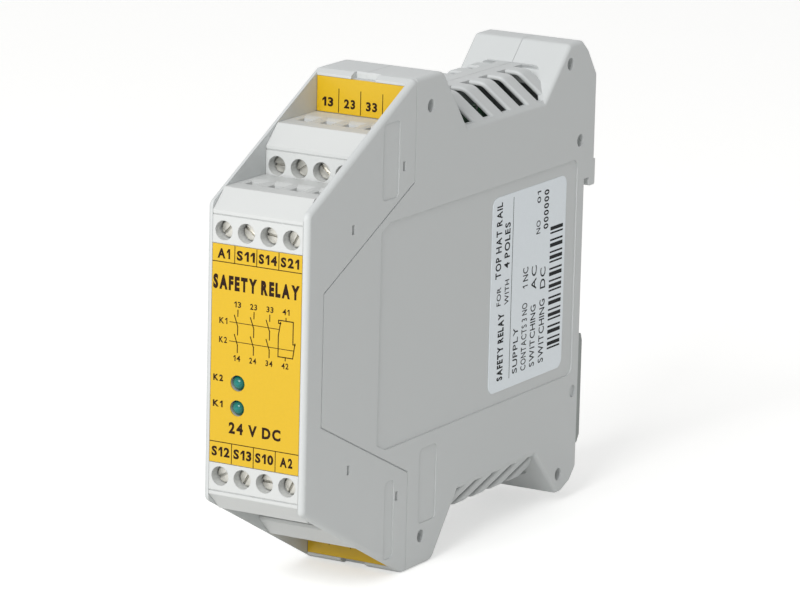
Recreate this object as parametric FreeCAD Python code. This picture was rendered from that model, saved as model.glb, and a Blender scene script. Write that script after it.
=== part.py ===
"""Safety relay in a 22.5 mm wide housing that snaps onto a 35 mm mounting rail.

Every piece is built in the housing's own working place: X is the width, Y runs back from the
front face and Z is measured from the middle of the height. place() then moves a finished piece
so that the origin is the middle of the rail seat. Sizes are in millimetres.
"""
import FreeCAD, Part
import math
import os

V = FreeCAD.Vector

# ---- overall sizes ----
HEIGHT = 99.0
SEAT_DEPTH = 110.5         # front face to the face that bears on the rail
SIDE_WALL = 1.2
WALL = 1.3                 # roof, floor and rear walls of the shells
FIT = 0.05                 # clearance between fixed pieces that slide together
SLIP = 0.2                 # clearance round moving pieces
PRINT_EDGE = 0.1           # gap round labels and strips

# ---- mounting rail ----
RAIL_HEIGHT = 35.0
RAIL_RISE = 0.5            # rail centre above the middle of the housing
RAIL_PLAY = 0.1            # gap over the rail's top edge
HOOK_GAP = 1.5             # slot that takes the rail's 1 mm flange
HOOK_GRIP = 1.7            # how far the hook reaches over the rail's edge
HOOK_REACH = 4.0           # hook's back face behind the rail seat
HOOK_ROOT = 2.3            # solid plastic above the hook's slot

# ---- terminals ----
POLES = 4
PITCH = 5.0
BLOCK_DEPTH = 18.5
BLOCK_GAP = 0.4            # between a front block and the rear block behind it
BLOCK_FACE_LOW = 2.6       # edge of a front block's face below its screws
BLOCK_BELOW = 3.2          # inner face of a block below its screws
BLOCK_RIDGE = 3.0          # groove above the screws
BLOCK_BAND = 3.8           # upright band ends and the slope begins
BLOCK_SLOPE = 4.1          # depth of the slope
BLOCK_TOP = 7.6
BLOCK_ROUND = 0.3
REAR_RISE = 9.4            # rear blocks' screws beyond the front blocks' screws
RIDGE_GROOVE = 0.22
HEAD = 3.4                 # screw head
HEAD_THICK = 1.6
HEAD_SUNK = 1.9
HEAD_HOLE = 3.8
SHANK = 2.5
SHOULDER = 0.8             # web that holds the screw's head
DRIVER_SLOT = (0.55, 0.8)  # width and depth
POLE_WALL = 0.8            # between two chambers
CAGE_HEIGHT = 3.8
CAGE_SIDE = 0.5
CAGE_NUT = 1.4
CAGE_BACK = 0.7
CAGE_ROUND = 0.3
CAGE_TRAVEL = 2.5
THREAD_CLEAR = 0.05        # radial, screw in cage
WIRE_HOLE = (2.8, 2.6)     # width and depth
FUNNEL = (3.8, 5.6)        # width and depth of its mouth
FUNNEL_DEPTH = 0.35
BAR = (2.6, 0.8)           # width and thickness of a contact bar
TAIL = 0.8                 # square tail of a contact bar
TAIL_SHIFT = 0.3
TAIL_FIRST = 2.3           # first leg below the block
TAIL_STEP = 1.6            # each next leg lies this much lower
NUB = (0.7, 1.7, 0.7)      # depth, height and how far it stands out of the block's side
NUB_BACK = 16.6
NUB_RISE = {                 # how far each block's nub lies beyond its screws
    "upper_front": -0.4, "upper_rear": -0.5, "lower_front": -0.4, "lower_rear": -0.5,
}
NUB_CLEAR = 0.1            # clearance of the hood's window round a nub

TERMINALS = {
    "upper_front": ("a1", "s11", "s14", "s21"),
    "upper_rear": ("13", "23", "33", "41"),
    "lower_front": ("s12", "s13", "s10", "a2"),
    "lower_rear": ("14", "24", "34", "42"),
}
SLOT_TURNS = {             # how each screw's driver slot stands, in degrees
    "upper_front": (45, -35, -5, 60),
    "upper_rear": (5, 33, -42, 35),
    "lower_front": (28, 60, 0, 65),
    "lower_rear": (5, -30, 70, 15),
}

# ---- hood (front cover) ----
NOSE_DROP = 20.2           # front corner below the full height
NOSE_SCREW = 5.2           # front blocks' screws below the front corner
NOSE_ROUND = 1.5
ROOF_LEAD = 0.7            # short flat between the sloping edge and the hood's back
HOOD_EDGE_ROUND = 1.0
LABEL_THICK = 0.25
PANEL_THICK = 1.4
STRIP_THICK = 0.5
STRIP_WALL = 1.6
STRIP_GAP = 0.1            # between the rear block and its marking strip
BAND_HEIGHT = 1.3          # white band over the marking strip
BAND_NOTCH = (-2.3, 3.2, 1.3, 2.2)   # left, right, height and depth of the notch for a tool
SEAM_FRONT = 6.2           # front edge of the shells' tongue
SEAM_FRONT_HALF = 13.0     # half height of the tongue at its front edge
SEAM_BACK_DROP = 20.6      # tongue below the full height where it meets the hood's back edge
SEAM_BEVEL = 0.3

# ---- rear shells ----
ROOF_LENGTH = 10.8         # from the hood to where the roof turns down into the vents
ROOF_RUN = 10.5            # depth of that slope
DIP_DROP = 13.3            # side faces beside the vents, below the full height
DIP_END = 19.0             # vents end this far in front of the rail seat
EAR_RUN = 10.9             # depth of the slope from the vents to the ear
EAR_DROP = 2.2             # ear below the full height
EAR_LEDGE = 2.5            # ear's flat top ends this far in front of the rail seat
EAR_BEVEL = (2.7, 2.3)     # first bevel behind the ear's flat top
EAR_END_DROP = 7.7         # hook's back face begins below the ear
FOOT_LEDGE = 6.2           # foot's sole ends this far in front of the rail seat
FOOT_BEVEL = (3.7, 1.5)
FOOT_CORNER = 4.2          # height of the last bevel above the foot's sole
CORNER_ROUND = 1.2
ROOF_ROUND = 2.5           # rounding where the roof turns down
EDGE_ROUND = 0.9           # rounding of the shells' outer side edges
PARTING = (0.04, 0.06)     # width in each shell and depth of the groove between the shells

# ---- vents ----
VENT_RISE = 6.8            # raised vent block above the side faces
VENT_SHOULDER_RUN = 5.15   # from the side face to where the vent block's slope ends
VENT_ROUND = 2.0
VENT_WALL = 0.9
SLOT_COUNT = 6
SLOT_LEAD = -4.0           # upper end of the first slot behind the end of the roof's slope
SLOT_LEAN = 0.69           # depth each slot gains for every millimetre it goes down
SLOT_PITCH = 7.4
SLOT_WIDTH = 3.1
SPINE_HALF = 2.8           # unslotted strip along the middle
VENT_LIP = 0.35            # unslotted rim beside the side face
VENT_LIP_RISE = 0.9
RIB_ROUND_FRONT = 0.5
RIB_ROUND_BACK = 0.3

# ---- side face ----
PANEL_RECESS = 0.3
RECESS_FRONT = 27.4
RECESS_END = 3.4           # recess ends this far in front of the rail seat
RECESS_HALF = 22.7
RECESS_CORNER = (3.4, 1.5)
RECESS_ROUND = 2.0
BOSS = 4.6
PIN = 2.2
PIN_LENGTH = 4.0
PIN_ROOF = (5.8, 6.1)      # behind the hood and below the full height
PIN_EAR = (0.1, 4.1)       # behind the ear's front corner and below its top
PIN_RAIL = (2.8, 26.5)     # in front of the rail seat, and half height
PIN_DIMPLE = 2.6
DIMPLE_DEPTH = 2.2
MARK_DEPTH = 0.2
MARK_ROUND = 1.0
MARK_UPPER = (6.0, 6.2, 7.1, 15.1)   # before the hood's back, depth, below the height, length
MARK_LOWER = (5.2, 3.5, 4.3, 15.9)
MARK_SHELL = (-11.5, 6.8, 8.7, 15.3)

# ---- electronics ----
BOARD_THICK = 1.6
BOARD_GAP = 0.45           # between the left side wall and the board
BOARD_FRONT_GAP = 1.35     # behind the front panel
BOARD_EDGE_GAP = 1.0       # below and behind a terminal block
BOARD_STEP_BACK = 1.4      # widest part begins behind the hood
BOARD_REAR_HALF = 33.0
BOARD_END = 7.5            # in front of the rail seat
PAD = 4.0
RELAY_SIZE = (15.7, 55.0, 16.5)
RELAY_START = 2.4          # behind the hood
RELAY_GAP = 2.0
CASE_ROUND = 0.8
LED_LENS = 3.0
LED_CLEAR = 0.08
LED_STAND = 0.3            # dome in front of the label
LED_LENGTH = 5.3
LED_FLANGE = (3.8, 1.0)
LED_LEAD = (0.5, 1.27, 2.0)   # thickness, half spacing and length before the bend
LED_PLACES = {"led_k2": (-3.9, -5.3), "led_k1": (-3.9, -10.2)}
CAPACITOR = (10.0, 12.5)
CAPACITOR_PLACE = (30.0, 2.0)
FUSE = (7.4, 3.0, 5.2)     # diameter, thickness and height of its centre above the board
FUSE_LEAD = (0.6, 2.5)     # thickness and half spacing
FUSE_PLACE = (17.0, 6.0)
RECTIFIER = (3.4, 8.0, 6.4)
RECTIFIER_PLACE = (15.0, -15.0)

# ---- side sticker ----
STICKER_INSET = (4.4, 2.5)   # from the recess's back edge and from its upper and lower edges
STICKER_LENGTH = 30.8
STICKER_THICK = 0.12
STICKER_ROUND = 2.0

# ---- foot latch ----
CHEEK = 1.05               # side wall beside the latch
LATCH_DEPTH = 3.3          # latch's front face before the rail seat
LATCH_GRIP = 1.7           # lip over the rail's lower edge
LATCH_LIP = 1.6            # thickness of the lip
LATCH_TRAVEL = 3.3
LATCH_NOSE_RISE = 8.7      # nose above the foot's sole
LATCH_TAIL = (2.2, 2.7)    # thickness, and its end above the foot's sole
LATCH_WINDOW = (6.0, 2.8, 1.2)   # width, height and rise above the tail's end
KEY_NECK = 4.0
KEY_FLANGE = 8.0
KEY_HEIGHT = 6.0
SPRING_RISE = 6.8          # spring's seat above the foot's sole
SPRING_MEAN = 3.8
SPRING_WIRE = 0.5
SPRING_LENGTH = 7.5
SPRING_TURNS = 5
SPRING_CLEAR = 0.05
LEDGE_THICK = 1.3
STUB = (1.4, 2.0)          # radius and height of the stub inside the spring

# ---- places that follow from the sizes ----
HALF_HEIGHT = HEIGHT / 2
BLOCK_HALF = POLES * PITCH / 2
INNER = BLOCK_HALF + FIT
HALF_WIDTH = INNER + SIDE_WALL

HOOD_NOSE = HALF_HEIGHT - NOSE_DROP
FRONT_SCREW = HOOD_NOSE - NOSE_SCREW
PANEL_HALF = FRONT_SCREW - BLOCK_FACE_LOW
REAR_FACE = BLOCK_DEPTH + BLOCK_GAP
BAND_FRONT = REAR_FACE + BLOCK_DEPTH + STRIP_GAP
HOOD_BACK = BAND_FRONT + STRIP_THICK + STRIP_WALL
STRIP_LOW = FRONT_SCREW + REAR_RISE + BLOCK_TOP + STRIP_GAP
STRIP_TOP = HALF_HEIGHT - BAND_HEIGHT
SEAM_BACK_HALF = HALF_HEIGHT - SEAM_BACK_DROP

ROOF_BACK = HOOD_BACK + ROOF_LENGTH
DIP_HALF = HALF_HEIGHT - DIP_DROP
DIP_FRONT = ROOF_BACK + ROOF_RUN
DIP_BACK = SEAT_DEPTH - DIP_END
EAR_FRONT = DIP_BACK + EAR_RUN
EAR_BACK = SEAT_DEPTH - EAR_LEDGE
EAR_HALF = HALF_HEIGHT - EAR_DROP
VENT_TOP = DIP_HALF + VENT_RISE
VENT_SHOULDER = HALF_WIDTH - VENT_SHOULDER_RUN
VENT_TILT = math.atan2(VENT_RISE, VENT_SHOULDER_RUN)
SLOT_FIRST = DIP_FRONT + SLOT_LEAD
RECESS_BACK = SEAT_DEPTH - RECESS_END
PIN_PLACES = (
    (HOOD_BACK + PIN_ROOF[0], HALF_HEIGHT - PIN_ROOF[1]),
    (EAR_FRONT + PIN_EAR[0], EAR_HALF - PIN_EAR[1]),
    (SEAT_DEPTH - PIN_RAIL[0], PIN_RAIL[1]),
)

RAIL_TOP = RAIL_RISE + RAIL_HEIGHT / 2
RAIL_FOOT = RAIL_RISE - RAIL_HEIGHT / 2
HOOK_SLOT_TOP = RAIL_TOP + RAIL_PLAY
HOOK_BASE = HOOK_SLOT_TOP + HOOK_ROOT
HOOK_BACK = SEAT_DEPTH + HOOK_REACH
LIP_TOP = RAIL_FOOT + LATCH_GRIP
LATCH_CEILING = LIP_TOP + SLIP + 0.3
LATCH_FACE = SEAT_DEPTH - LATCH_DEPTH
LATCH_WALL = LATCH_FACE - SLIP
KEY_BACK = LATCH_WALL - WALL - SLIP
SPRING_BACK = KEY_BACK - SPRING_MEAN / 2 - SPRING_WIRE
SPRING_SEAT = -EAR_HALF + SPRING_RISE
KEY_LOW = SPRING_SEAT + SPRING_LENGTH
KEY_TOP = KEY_LOW + KEY_HEIGHT

SHOULDER_FACE = HEAD_SUNK + HEAD_THICK + THREAD_CLEAR * 2
CHAMBER_FRONT = SHOULDER_FACE + SHOULDER
CHAMBER_WIDTH = PITCH - POLE_WALL
CHAMBER_UP = CAGE_HEIGHT / 2 + SLIP
BAR_FACE = CHAMBER_FRONT + CAGE_NUT + CAGE_TRAVEL + 2 * SLIP
CAGE_FRONT = BAR_FACE - SLIP - CAGE_NUT
CAGE_INNER_BACK = BAR_FACE + BAR[1] + SLIP + CAGE_TRAVEL
CHAMBER_BACK = CAGE_INNER_BACK + CAGE_BACK + SLIP
WIRE_CENTRE = BAR_FACE + BAR[1] + WIRE_HOLE[1] / 2 + 0.1

BOARD_FACE = -INNER + BOARD_GAP + BOARD_THICK
FRONT_BOARD_HALF = FRONT_SCREW - BLOCK_BELOW - BOARD_EDGE_GAP
BOARD_STEPS = (            # front edge and half height of each step of the board
    (LABEL_THICK + PANEL_THICK + BOARD_FRONT_GAP, FRONT_BOARD_HALF),
    (BLOCK_DEPTH + BOARD_EDGE_GAP, FRONT_BOARD_HALF + REAR_RISE),
    (HOOD_BACK + BOARD_STEP_BACK, BOARD_REAR_HALF),
)
BOARD_BACK = SEAT_DEPTH - BOARD_END
PAD_PLACES = ((12.0, 0.0), (36.0, 22.0), (36.0, -22.0), (60.0, 26.0), (60.0, -26.0),
              (98.0, 26.0), (98.0, -26.0))   # depth and height of the board's pads


# ---- shapes ----
def box(x0, x1, y0, y1, z0, z1):
    """Box between six planes."""
    return Part.makeBox(x1 - x0, y1 - y0, z1 - z0, V(x0, y0, z0))


def rod(start, direction, radius, length):
    """Cylinder from a start point along a direction."""
    return Part.makeCylinder(radius, length, start, direction)


def corner_edges(before, corner, after, radius):
    """Start, end and, on a rounded corner, the middle of its arc."""
    if not radius:
        return corner, corner, None
    to_before = (before - corner).normalize()
    to_after = (after - corner).normalize()
    half = to_before.getAngle(to_after) / 2
    reach = radius / math.tan(half)
    centre = corner + (to_before + to_after).normalize() * (radius / math.sin(half))
    middle = centre + (corner - centre).normalize() * radius
    return corner + to_before * reach, corner + to_after * reach, middle


def outline(corners, place):
    """Face inside (a, b) or (a, b, radius) corners, put in space by place(a, b)."""
    points = [V(c[0], c[1], 0) for c in corners]
    radii = [c[2] if len(c) > 2 else 0 for c in corners]
    count = len(points)
    ends = [corner_edges(points[i - 1], points[i], points[(i + 1) % count], radii[i])
            for i in range(count)]
    edges = []
    for i, (start, end, middle) in enumerate(ends):
        if middle:
            arc = Part.Arc(place(start.x, start.y), place(middle.x, middle.y), place(end.x, end.y))
            edges.append(arc.toShape())
        following = ends[(i + 1) % count][0]
        if (following - end).Length > 1e-6:
            edges.append(Part.makeLine(place(end.x, end.y), place(following.x, following.y)))
    return Part.Face(Part.Wire(edges))


def inset(corners, distance):
    """Clockwise corners moved inwards by a distance, their rounding left out."""
    points = [V(c[0], c[1], 0) for c in corners]
    moved = []
    for before, corner, after in zip(points[-1:] + points, points, points[1:] + points[:1]):
        into = (corner - before).normalize()
        out = (after - corner).normalize()
        inward = V(into.y, -into.x, 0) + V(out.y, -out.x, 0)
        shift = inward * (distance / (1 + into.dot(out)))
        moved.append((corner.x + shift.x, corner.y + shift.y))
    return moved


def side_prism(corners, x0, x1):
    """Outline in depth and height, carried from x0 to x1."""
    return outline(corners, lambda y, z: V(x0, y, z)).extrude(V(x1 - x0, 0, 0))


def front_prism(corners, y0, y1):
    """Outline in width and height, carried from y0 to y1."""
    return outline(corners, lambda x, z: V(x, y0, z)).extrude(V(0, y1 - y0, 0))


def mirrored(shape, normal):
    """Copy of a shape mirrored in a plane through the working origin."""
    return shape.mirror(V(0, 0, 0), normal)


def above_and_below(shape):
    """A shape and its mirror image in the middle of the height."""
    return [shape, mirrored(shape, V(0, 0, 1))]


def fuse(shapes):
    """One solid from shapes that meet."""
    return shapes[0].multiFuse(shapes[1:]).removeSplitter()


# ---- housing outline ----
def shell_corners():
    """Side outline of the two rear shells, carried forward past the hood."""
    foot_back = SEAT_DEPTH - FOOT_LEDGE
    ear_end = EAR_HALF - EAR_END_DROP
    return [
        (-WALL, HALF_HEIGHT), (ROOF_BACK, HALF_HEIGHT, ROOF_ROUND), (DIP_FRONT, DIP_HALF),
        (DIP_BACK, DIP_HALF), (EAR_FRONT, EAR_HALF, CORNER_ROUND),
        (EAR_BACK, EAR_HALF, CORNER_ROUND),
        (EAR_BACK + EAR_BEVEL[0], EAR_HALF - EAR_BEVEL[1]), (HOOK_BACK, ear_end, CORNER_ROUND),
        (HOOK_BACK, HOOK_BASE), (SEAT_DEPTH, HOOK_BASE),
        (SEAT_DEPTH, -EAR_HALF + FOOT_CORNER, CORNER_ROUND),
        (foot_back + FOOT_BEVEL[0], -EAR_HALF + FOOT_BEVEL[1], CORNER_ROUND),
        (foot_back, -EAR_HALF, 0.4), (EAR_FRONT, -EAR_HALF, 0.4), (DIP_BACK, -DIP_HALF),
        (DIP_FRONT, -DIP_HALF), (ROOF_BACK, -HALF_HEIGHT, ROOF_ROUND), (-WALL, -HALF_HEIGHT),
    ]


def seam_corners():
    """Everything behind the seam: the tongue between the hood's wings, and the rear body."""
    far = SEAT_DEPTH * 2
    return [
        (SEAM_FRONT, SEAM_FRONT_HALF), (HOOD_BACK, SEAM_BACK_HALF), (HOOD_BACK, far), (far, far),
        (far, -far), (HOOD_BACK, -far), (HOOD_BACK, -SEAM_BACK_HALF),
        (SEAM_FRONT, -SEAM_FRONT_HALF),
    ]


def vent_block(inset):
    """Right half of the raised vent block, or of its hollow when inset by the wall."""
    shoulder = VENT_SHOULDER - inset * math.tan(VENT_TILT / 2)
    top = VENT_TOP - inset
    low = DIP_HALF - WALL * 3
    edge = shoulder + (top - low) / math.tan(VENT_TILT)
    radius = VENT_ROUND - inset
    front = DIP_FRONT - VENT_RISE * ROOF_RUN / DIP_DROP
    back = DIP_BACK + VENT_RISE * EAR_RUN / (DIP_DROP - EAR_DROP)
    start = front + inset * 2 if inset else front - WALL
    end = back - inset * 2 if inset else back + WALL
    block = front_prism([(0, low), (0, top), (shoulder, top, radius), (edge, low)], start, end)
    limit = HALF_WIDTH if not inset else INNER
    return block.common(box(0, limit, 0, SEAT_DEPTH, low, VENT_TOP + 1))


def slot_space(first, last, low):
    """Right half between the front of one slot and the back of another, down to a height."""
    lean = SLOT_LEAN * (VENT_TOP - low)
    over = SLOT_LEAN
    return side_prism([(first - over, VENT_TOP + 1), (last - over, VENT_TOP + 1),
                       (last + lean, low), (first + lean, low)], SPINE_HALF, HALF_WIDTH - VENT_LIP)


def vent_rib(start):
    """One rounded leaning rib between two vent slots, its upper edge starting at a depth."""
    inner_shoulder = VENT_SHOULDER - VENT_WALL * math.tan(VENT_TILT / 2)
    foot = HALF_WIDTH - VENT_LIP / 2
    low = DIP_HALF + VENT_LIP_RISE - 0.1
    inner_foot = inner_shoulder + (VENT_TOP - VENT_WALL - low) / math.tan(VENT_TILT)
    end = start + SLOT_PITCH - SLOT_WIDTH
    corners = [
        (SPINE_HALF - 0.5, VENT_TOP), (VENT_SHOULDER, VENT_TOP, VENT_ROUND),
        (VENT_SHOULDER + (VENT_TOP - low) / math.tan(VENT_TILT), low), (inner_foot, low),
        (inner_shoulder, VENT_TOP - VENT_WALL, VENT_ROUND - VENT_WALL),
        (SPINE_HALF - 0.5, VENT_TOP - VENT_WALL),
    ]
    lean = SLOT_LEAN * (VENT_TOP - low)
    between = side_prism([(start - SLOT_LEAN, VENT_TOP + 1), (end - SLOT_LEAN, VENT_TOP + 1),
                          (end + lean + SLOT_LEAN, low - 1), (start + lean + SLOT_LEAN, low - 1)], 0, foot)
    rib = front_prism(corners, start - 1, end + lean + 1).common(between)
    slope = V(VENT_TOP - DIP_HALF, 0, VENT_SHOULDER_RUN).normalize()

    def outer_edges(upper):
        found = []
        for edge in rib.Edges:
            middle = edge.valueAt((edge.FirstParameter + edge.LastParameter) / 2)
            across = abs(middle.y - upper - SLOT_LEAN * (VENT_TOP - middle.z)) < 0.01
            on_slope = abs((middle - V(VENT_SHOULDER, 0, VENT_TOP)).dot(slope)) < 0.01
            on_top = abs(middle.z - VENT_TOP) < 0.01
            bend = middle.z > VENT_TOP - VENT_WALL and middle.x > VENT_SHOULDER - VENT_ROUND
            if across and edge.Length > 0.3 and (on_slope or on_top or bend):
                found.append(edge)
        return found

    rib = rib.makeFillet(RIB_ROUND_FRONT, outer_edges(start))
    return rib.makeFillet(RIB_ROUND_BACK, outer_edges(end))


def vents(shell):
    """Cut the slots of one vent block into a right-hand shell, leaving the ribs."""
    end = SLOT_FIRST + (SLOT_COUNT - 1) * SLOT_PITCH + SLOT_WIDTH
    ear_run = EAR_RUN / (DIP_DROP - EAR_DROP)
    ear = side_prism([(DIP_BACK, DIP_HALF), (DIP_BACK + ear_run * HEIGHT, DIP_HALF + HEIGHT),
                      (SEAT_DEPTH + HEIGHT, DIP_HALF)], -1, HALF_WIDTH + 1)
    shell = shell.cut(slot_space(SLOT_FIRST, end, DIP_HALF + VENT_LIP_RISE).cut(ear))
    ribs = [vent_rib(SLOT_FIRST + i * SLOT_PITCH + SLOT_WIDTH) for i in range(SLOT_COUNT - 1)]
    return shell.multiFuse(ribs)


# ---- rear shells ----
def hollow():
    """Inside of the right-hand shell."""
    inside = side_prism(inset(shell_corners(), WALL), 0, INNER)
    behind_latch = box(-1, HALF_WIDTH, LATCH_WALL - WALL, HOOK_BACK, -HEIGHT, LATCH_CEILING + WALL)
    return inside.cut(behind_latch).multiFuse(above_and_below(vent_block(VENT_WALL)))


def rail_hook():
    """Hook over the rail's upper edge, and the solid plastic at its root."""
    lip_front = SEAT_DEPTH + HOOK_GAP
    lip_end = RAIL_TOP - HOOK_GRIP
    corners = [
        (SEAT_DEPTH - WALL, HOOK_BASE + WALL), (HOOK_BACK, HOOK_BASE + WALL), (HOOK_BACK, lip_end, 0.5),
        (lip_front, lip_end, 0.4), (lip_front, HOOK_SLOT_TOP), (SEAT_DEPTH, HOOK_SLOT_TOP),
        (SEAT_DEPTH - WALL, HOOK_SLOT_TOP),
    ]
    return side_prism(corners, 0, HALF_WIDTH)


def parting_groove():
    """What the right-hand shell loses along the line where the two shells meet."""
    lip_front = SEAT_DEPTH + HOOK_GAP
    lip_end = RAIL_TOP - HOOK_GRIP
    slope_runs = {DIP_FRONT: -ROOF_RUN / DIP_DROP, DIP_BACK: EAR_RUN / (DIP_DROP - EAR_DROP)}
    silhouette = []
    for y, z, *rounding in shell_corners():
        if (y, z) == (SEAT_DEPTH, HOOK_BASE):
            silhouette += [(lip_front, lip_end), (lip_front, HOOK_SLOT_TOP), (y, HOOK_SLOT_TOP)]
        elif (y, z) == (HOOK_BACK, HOOK_BASE):
            silhouette.append((y, lip_end))
        elif y in slope_runs:
            silhouette.append((y + VENT_RISE * slope_runs[y], math.copysign(VENT_TOP, z)))
        else:
            silhouette.append((y, z, *rounding))
    width, depth = PARTING
    kept = [(*moved, *(r - depth for r in corner[2:]))
            for moved, corner in zip(inset(silhouette, depth), silhouette)]
    outside = box(-1, width, -WALL, HOOK_BACK + 1, -HALF_HEIGHT - 1, HALF_HEIGHT + 1)
    return outside.cut(side_prism(kept, -1, width + 1))


def side_recess():
    """Shallow field on the side face for the rating sticker."""
    cut_back, cut_up = RECESS_CORNER
    corners = [
        (RECESS_FRONT, RECESS_HALF - cut_up), (RECESS_FRONT + cut_back, RECESS_HALF),
        (RECESS_BACK, RECESS_HALF, RECESS_ROUND), (RECESS_BACK, -RECESS_HALF, RECESS_ROUND),
        (RECESS_FRONT + cut_back, -RECESS_HALF), (RECESS_FRONT, -RECESS_HALF + cut_up),
    ]
    return side_prism(corners, HALF_WIDTH - PANEL_RECESS, HALF_WIDTH + 1)


def mark_field(mark, level):
    """Shallow rounded field for a moulded marking, left bare, above (1) or below (-1)."""
    before_hood_back, depth, drop, length = mark
    back = HOOD_BACK - before_hood_back
    outer = level * (HALF_HEIGHT - drop)
    inner = level * (HALF_HEIGHT - drop - length)
    corners = [(back - depth, inner, MARK_ROUND), (back - depth, outer, MARK_ROUND),
               (back, outer, MARK_ROUND), (back, inner, MARK_ROUND)]
    return side_prism(corners, HALF_WIDTH - MARK_DEPTH, HALF_WIDTH + 1)


def pin_places():
    """Depth and height of the snap pins that join the shells."""
    return [(y, side * z) for y, z in PIN_PLACES for side in (1, -1)]


def behind_cheek(y, z):
    """True where a pin place lies in the latch's channel, which has no room for a pin."""
    return y > LATCH_WALL - BOSS / 2 and z < LATCH_CEILING


def spring_ledge():
    """Right half of the ledge under the latch spring, with its locating stub."""
    back = LATCH_WALL - WALL + 0.01
    front = SPRING_BACK - SPRING_MEAN / 2 - 1
    ledge = box(0, INNER + 0.01, front, back, SPRING_SEAT - LEDGE_THICK, SPRING_SEAT)
    radius, height = STUB
    stub = rod(V(0, SPRING_BACK, SPRING_SEAT - 0.5), V(0, 0, 1), radius, height + 0.5)
    return [ledge, stub.common(box(0, radius, 0, SEAT_DEPTH, -HEIGHT, HEIGHT))]


def side_edges(solid, wanted):
    """Edges of a right-hand solid's outer side face whose middle has a wanted depth."""
    middles = [(edge, edge.valueAt((edge.FirstParameter + edge.LastParameter) / 2))
               for edge in solid.Edges]
    return [edge for edge, middle in middles if abs(middle.x - HALF_WIDTH) < 0.01 and wanted(middle.y)]


def rounded_side(solid):
    """A right-hand shell with its outer side edges rounded and a bevel beside the hood."""
    solid = solid.makeFillet(EDGE_ROUND, side_edges(solid, lambda depth: depth > HOOD_BACK + 0.01))
    beside_hood = side_edges(solid, lambda depth: abs(depth - HOOD_BACK) < 0.01)
    return solid.makeChamfer(SEAM_BEVEL, beside_hood)


def shell(with_pins):
    """Right-hand rear shell; with_pins gives it the pins, otherwise it gets their sockets."""
    solid = side_prism(shell_corners(), 0, HALF_WIDTH)
    solid = solid.multiFuse(above_and_below(vent_block(0)))
    solid = solid.common(side_prism(seam_corners(), 0, HALF_WIDTH))
    solid = rounded_side(solid.removeSplitter())
    solid = solid.cut(hollow())
    solid = solid.fuse(rail_hook())
    channel = box(-1, HALF_WIDTH - CHEEK, LATCH_WALL, HOOK_BACK, -HEIGHT, LATCH_CEILING)
    solid = solid.cut(channel)
    neck_half = KEY_NECK / 2 + SLIP
    key_slot = box(-1, neck_half, LATCH_WALL - WALL - 1, LATCH_WALL + 1,
                   KEY_LOW - LATCH_TRAVEL - SLIP, KEY_TOP + SLIP)
    solid = solid.cut(key_slot)
    solid = vents(solid)
    solid = mirrored(vents(mirrored(solid, V(0, 0, 1))), V(0, 0, 1))
    solid = solid.multiFuse(spring_ledge())

    across = V(1, 0, 0)
    bosses = [rod(V(0, y, z), across, BOSS / 2, INNER + 0.1) for y, z in pin_places()
              if not behind_cheek(y, z)]
    solid = solid.multiFuse(bosses)
    dimples = [rod(V(HALF_WIDTH - (CHEEK / 2 if behind_cheek(y, z) else DIMPLE_DEPTH), y, z),
                   across, PIN_DIMPLE / 2, DIMPLE_DEPTH + 1) for y, z in pin_places()]
    solid = solid.cut(Part.makeCompound(dimples + [side_recess(), mark_field(MARK_SHELL, -1)]))
    for y, z in pin_places():
        if behind_cheek(y, z):
            continue
        if with_pins:
            solid = solid.fuse(rod(V(-PIN_LENGTH, y, z), across, PIN / 2, PIN_LENGTH + 0.5))
        else:
            solid = solid.cut(rod(V(-1, y, z), across, PIN / 2 + FIT, PIN_LENGTH + 1.3))
    return solid.cut(parting_groove()).removeSplitter()


def board_pads():
    """Pads on the left-hand shell that carry the circuit board."""
    wall = -INNER - 0.2
    return [rod(V(wall, y, z), V(1, 0, 0), PAD / 2, BOARD_GAP + 0.2) for y, z in PAD_PLACES]


# ---- hood ----
def hood_corners():
    """Side outline of the hood."""
    roof_front = HOOD_BACK - ROOF_LEAD
    return [
        (0, HOOD_NOSE, NOSE_ROUND), (roof_front, HALF_HEIGHT), (HOOD_BACK, HALF_HEIGHT),
        (HOOD_BACK, -HALF_HEIGHT), (roof_front, -HALF_HEIGHT), (0, -HOOD_NOSE, NOSE_ROUND),
    ]


def hood_side():
    """Right-hand side wall of the hood with its rounded outer edge."""
    wall = side_prism(hood_corners(), INNER, HALF_WIDTH)
    outer = []
    for edge in wall.Edges:
        middle = edge.valueAt((edge.FirstParameter + edge.LastParameter) / 2)
        if abs(middle.x - HALF_WIDTH) < 0.01 and middle.y < HOOD_BACK - 0.01:
            outer.append(edge)
    wall = wall.makeFillet(min(HOOD_EDGE_ROUND, SIDE_WALL - 0.1), outer)
    notch = side_prism(seam_corners(), INNER - 1, HALF_WIDTH + 1)
    wall = wall.cut(notch)
    fields = [mark_field(MARK_UPPER, 1), mark_field(MARK_LOWER, -1)]
    return wall.cut(Part.makeCompound(fields + nub_windows()))


def block_place(row):
    """Depth of a block's front face and half height of its screws."""
    return {"front": (0, FRONT_SCREW), "rear": (REAR_FACE, FRONT_SCREW + REAR_RISE)}[row]


def nub_box(level, row, margin, x0, x1):
    """Box of a block's snap nub, grown by a margin, for a block that stands on the upper half."""
    depth, height, _ = NUB
    face, screws = block_place(row)
    y = face + NUB_BACK
    z = screws + NUB_RISE[level + "_" + row]
    return box(x0, x1, y - depth / 2 - margin, y + depth / 2 + margin,
               z - height / 2 - margin, z + height / 2 + margin)


def nub_windows():
    """Windows of the hood's right-hand wall for the nubs of the four blocks."""
    windows = []
    for row in ("front", "rear"):
        windows.append(nub_box("upper", row, NUB_CLEAR, INNER - 1, HALF_WIDTH + 1))
        lower = nub_box("lower", row, NUB_CLEAR, INNER - 1, HALF_WIDTH + 1)
        windows.append(mirrored(lower, V(0, 0, 1)))
    return windows


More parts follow.
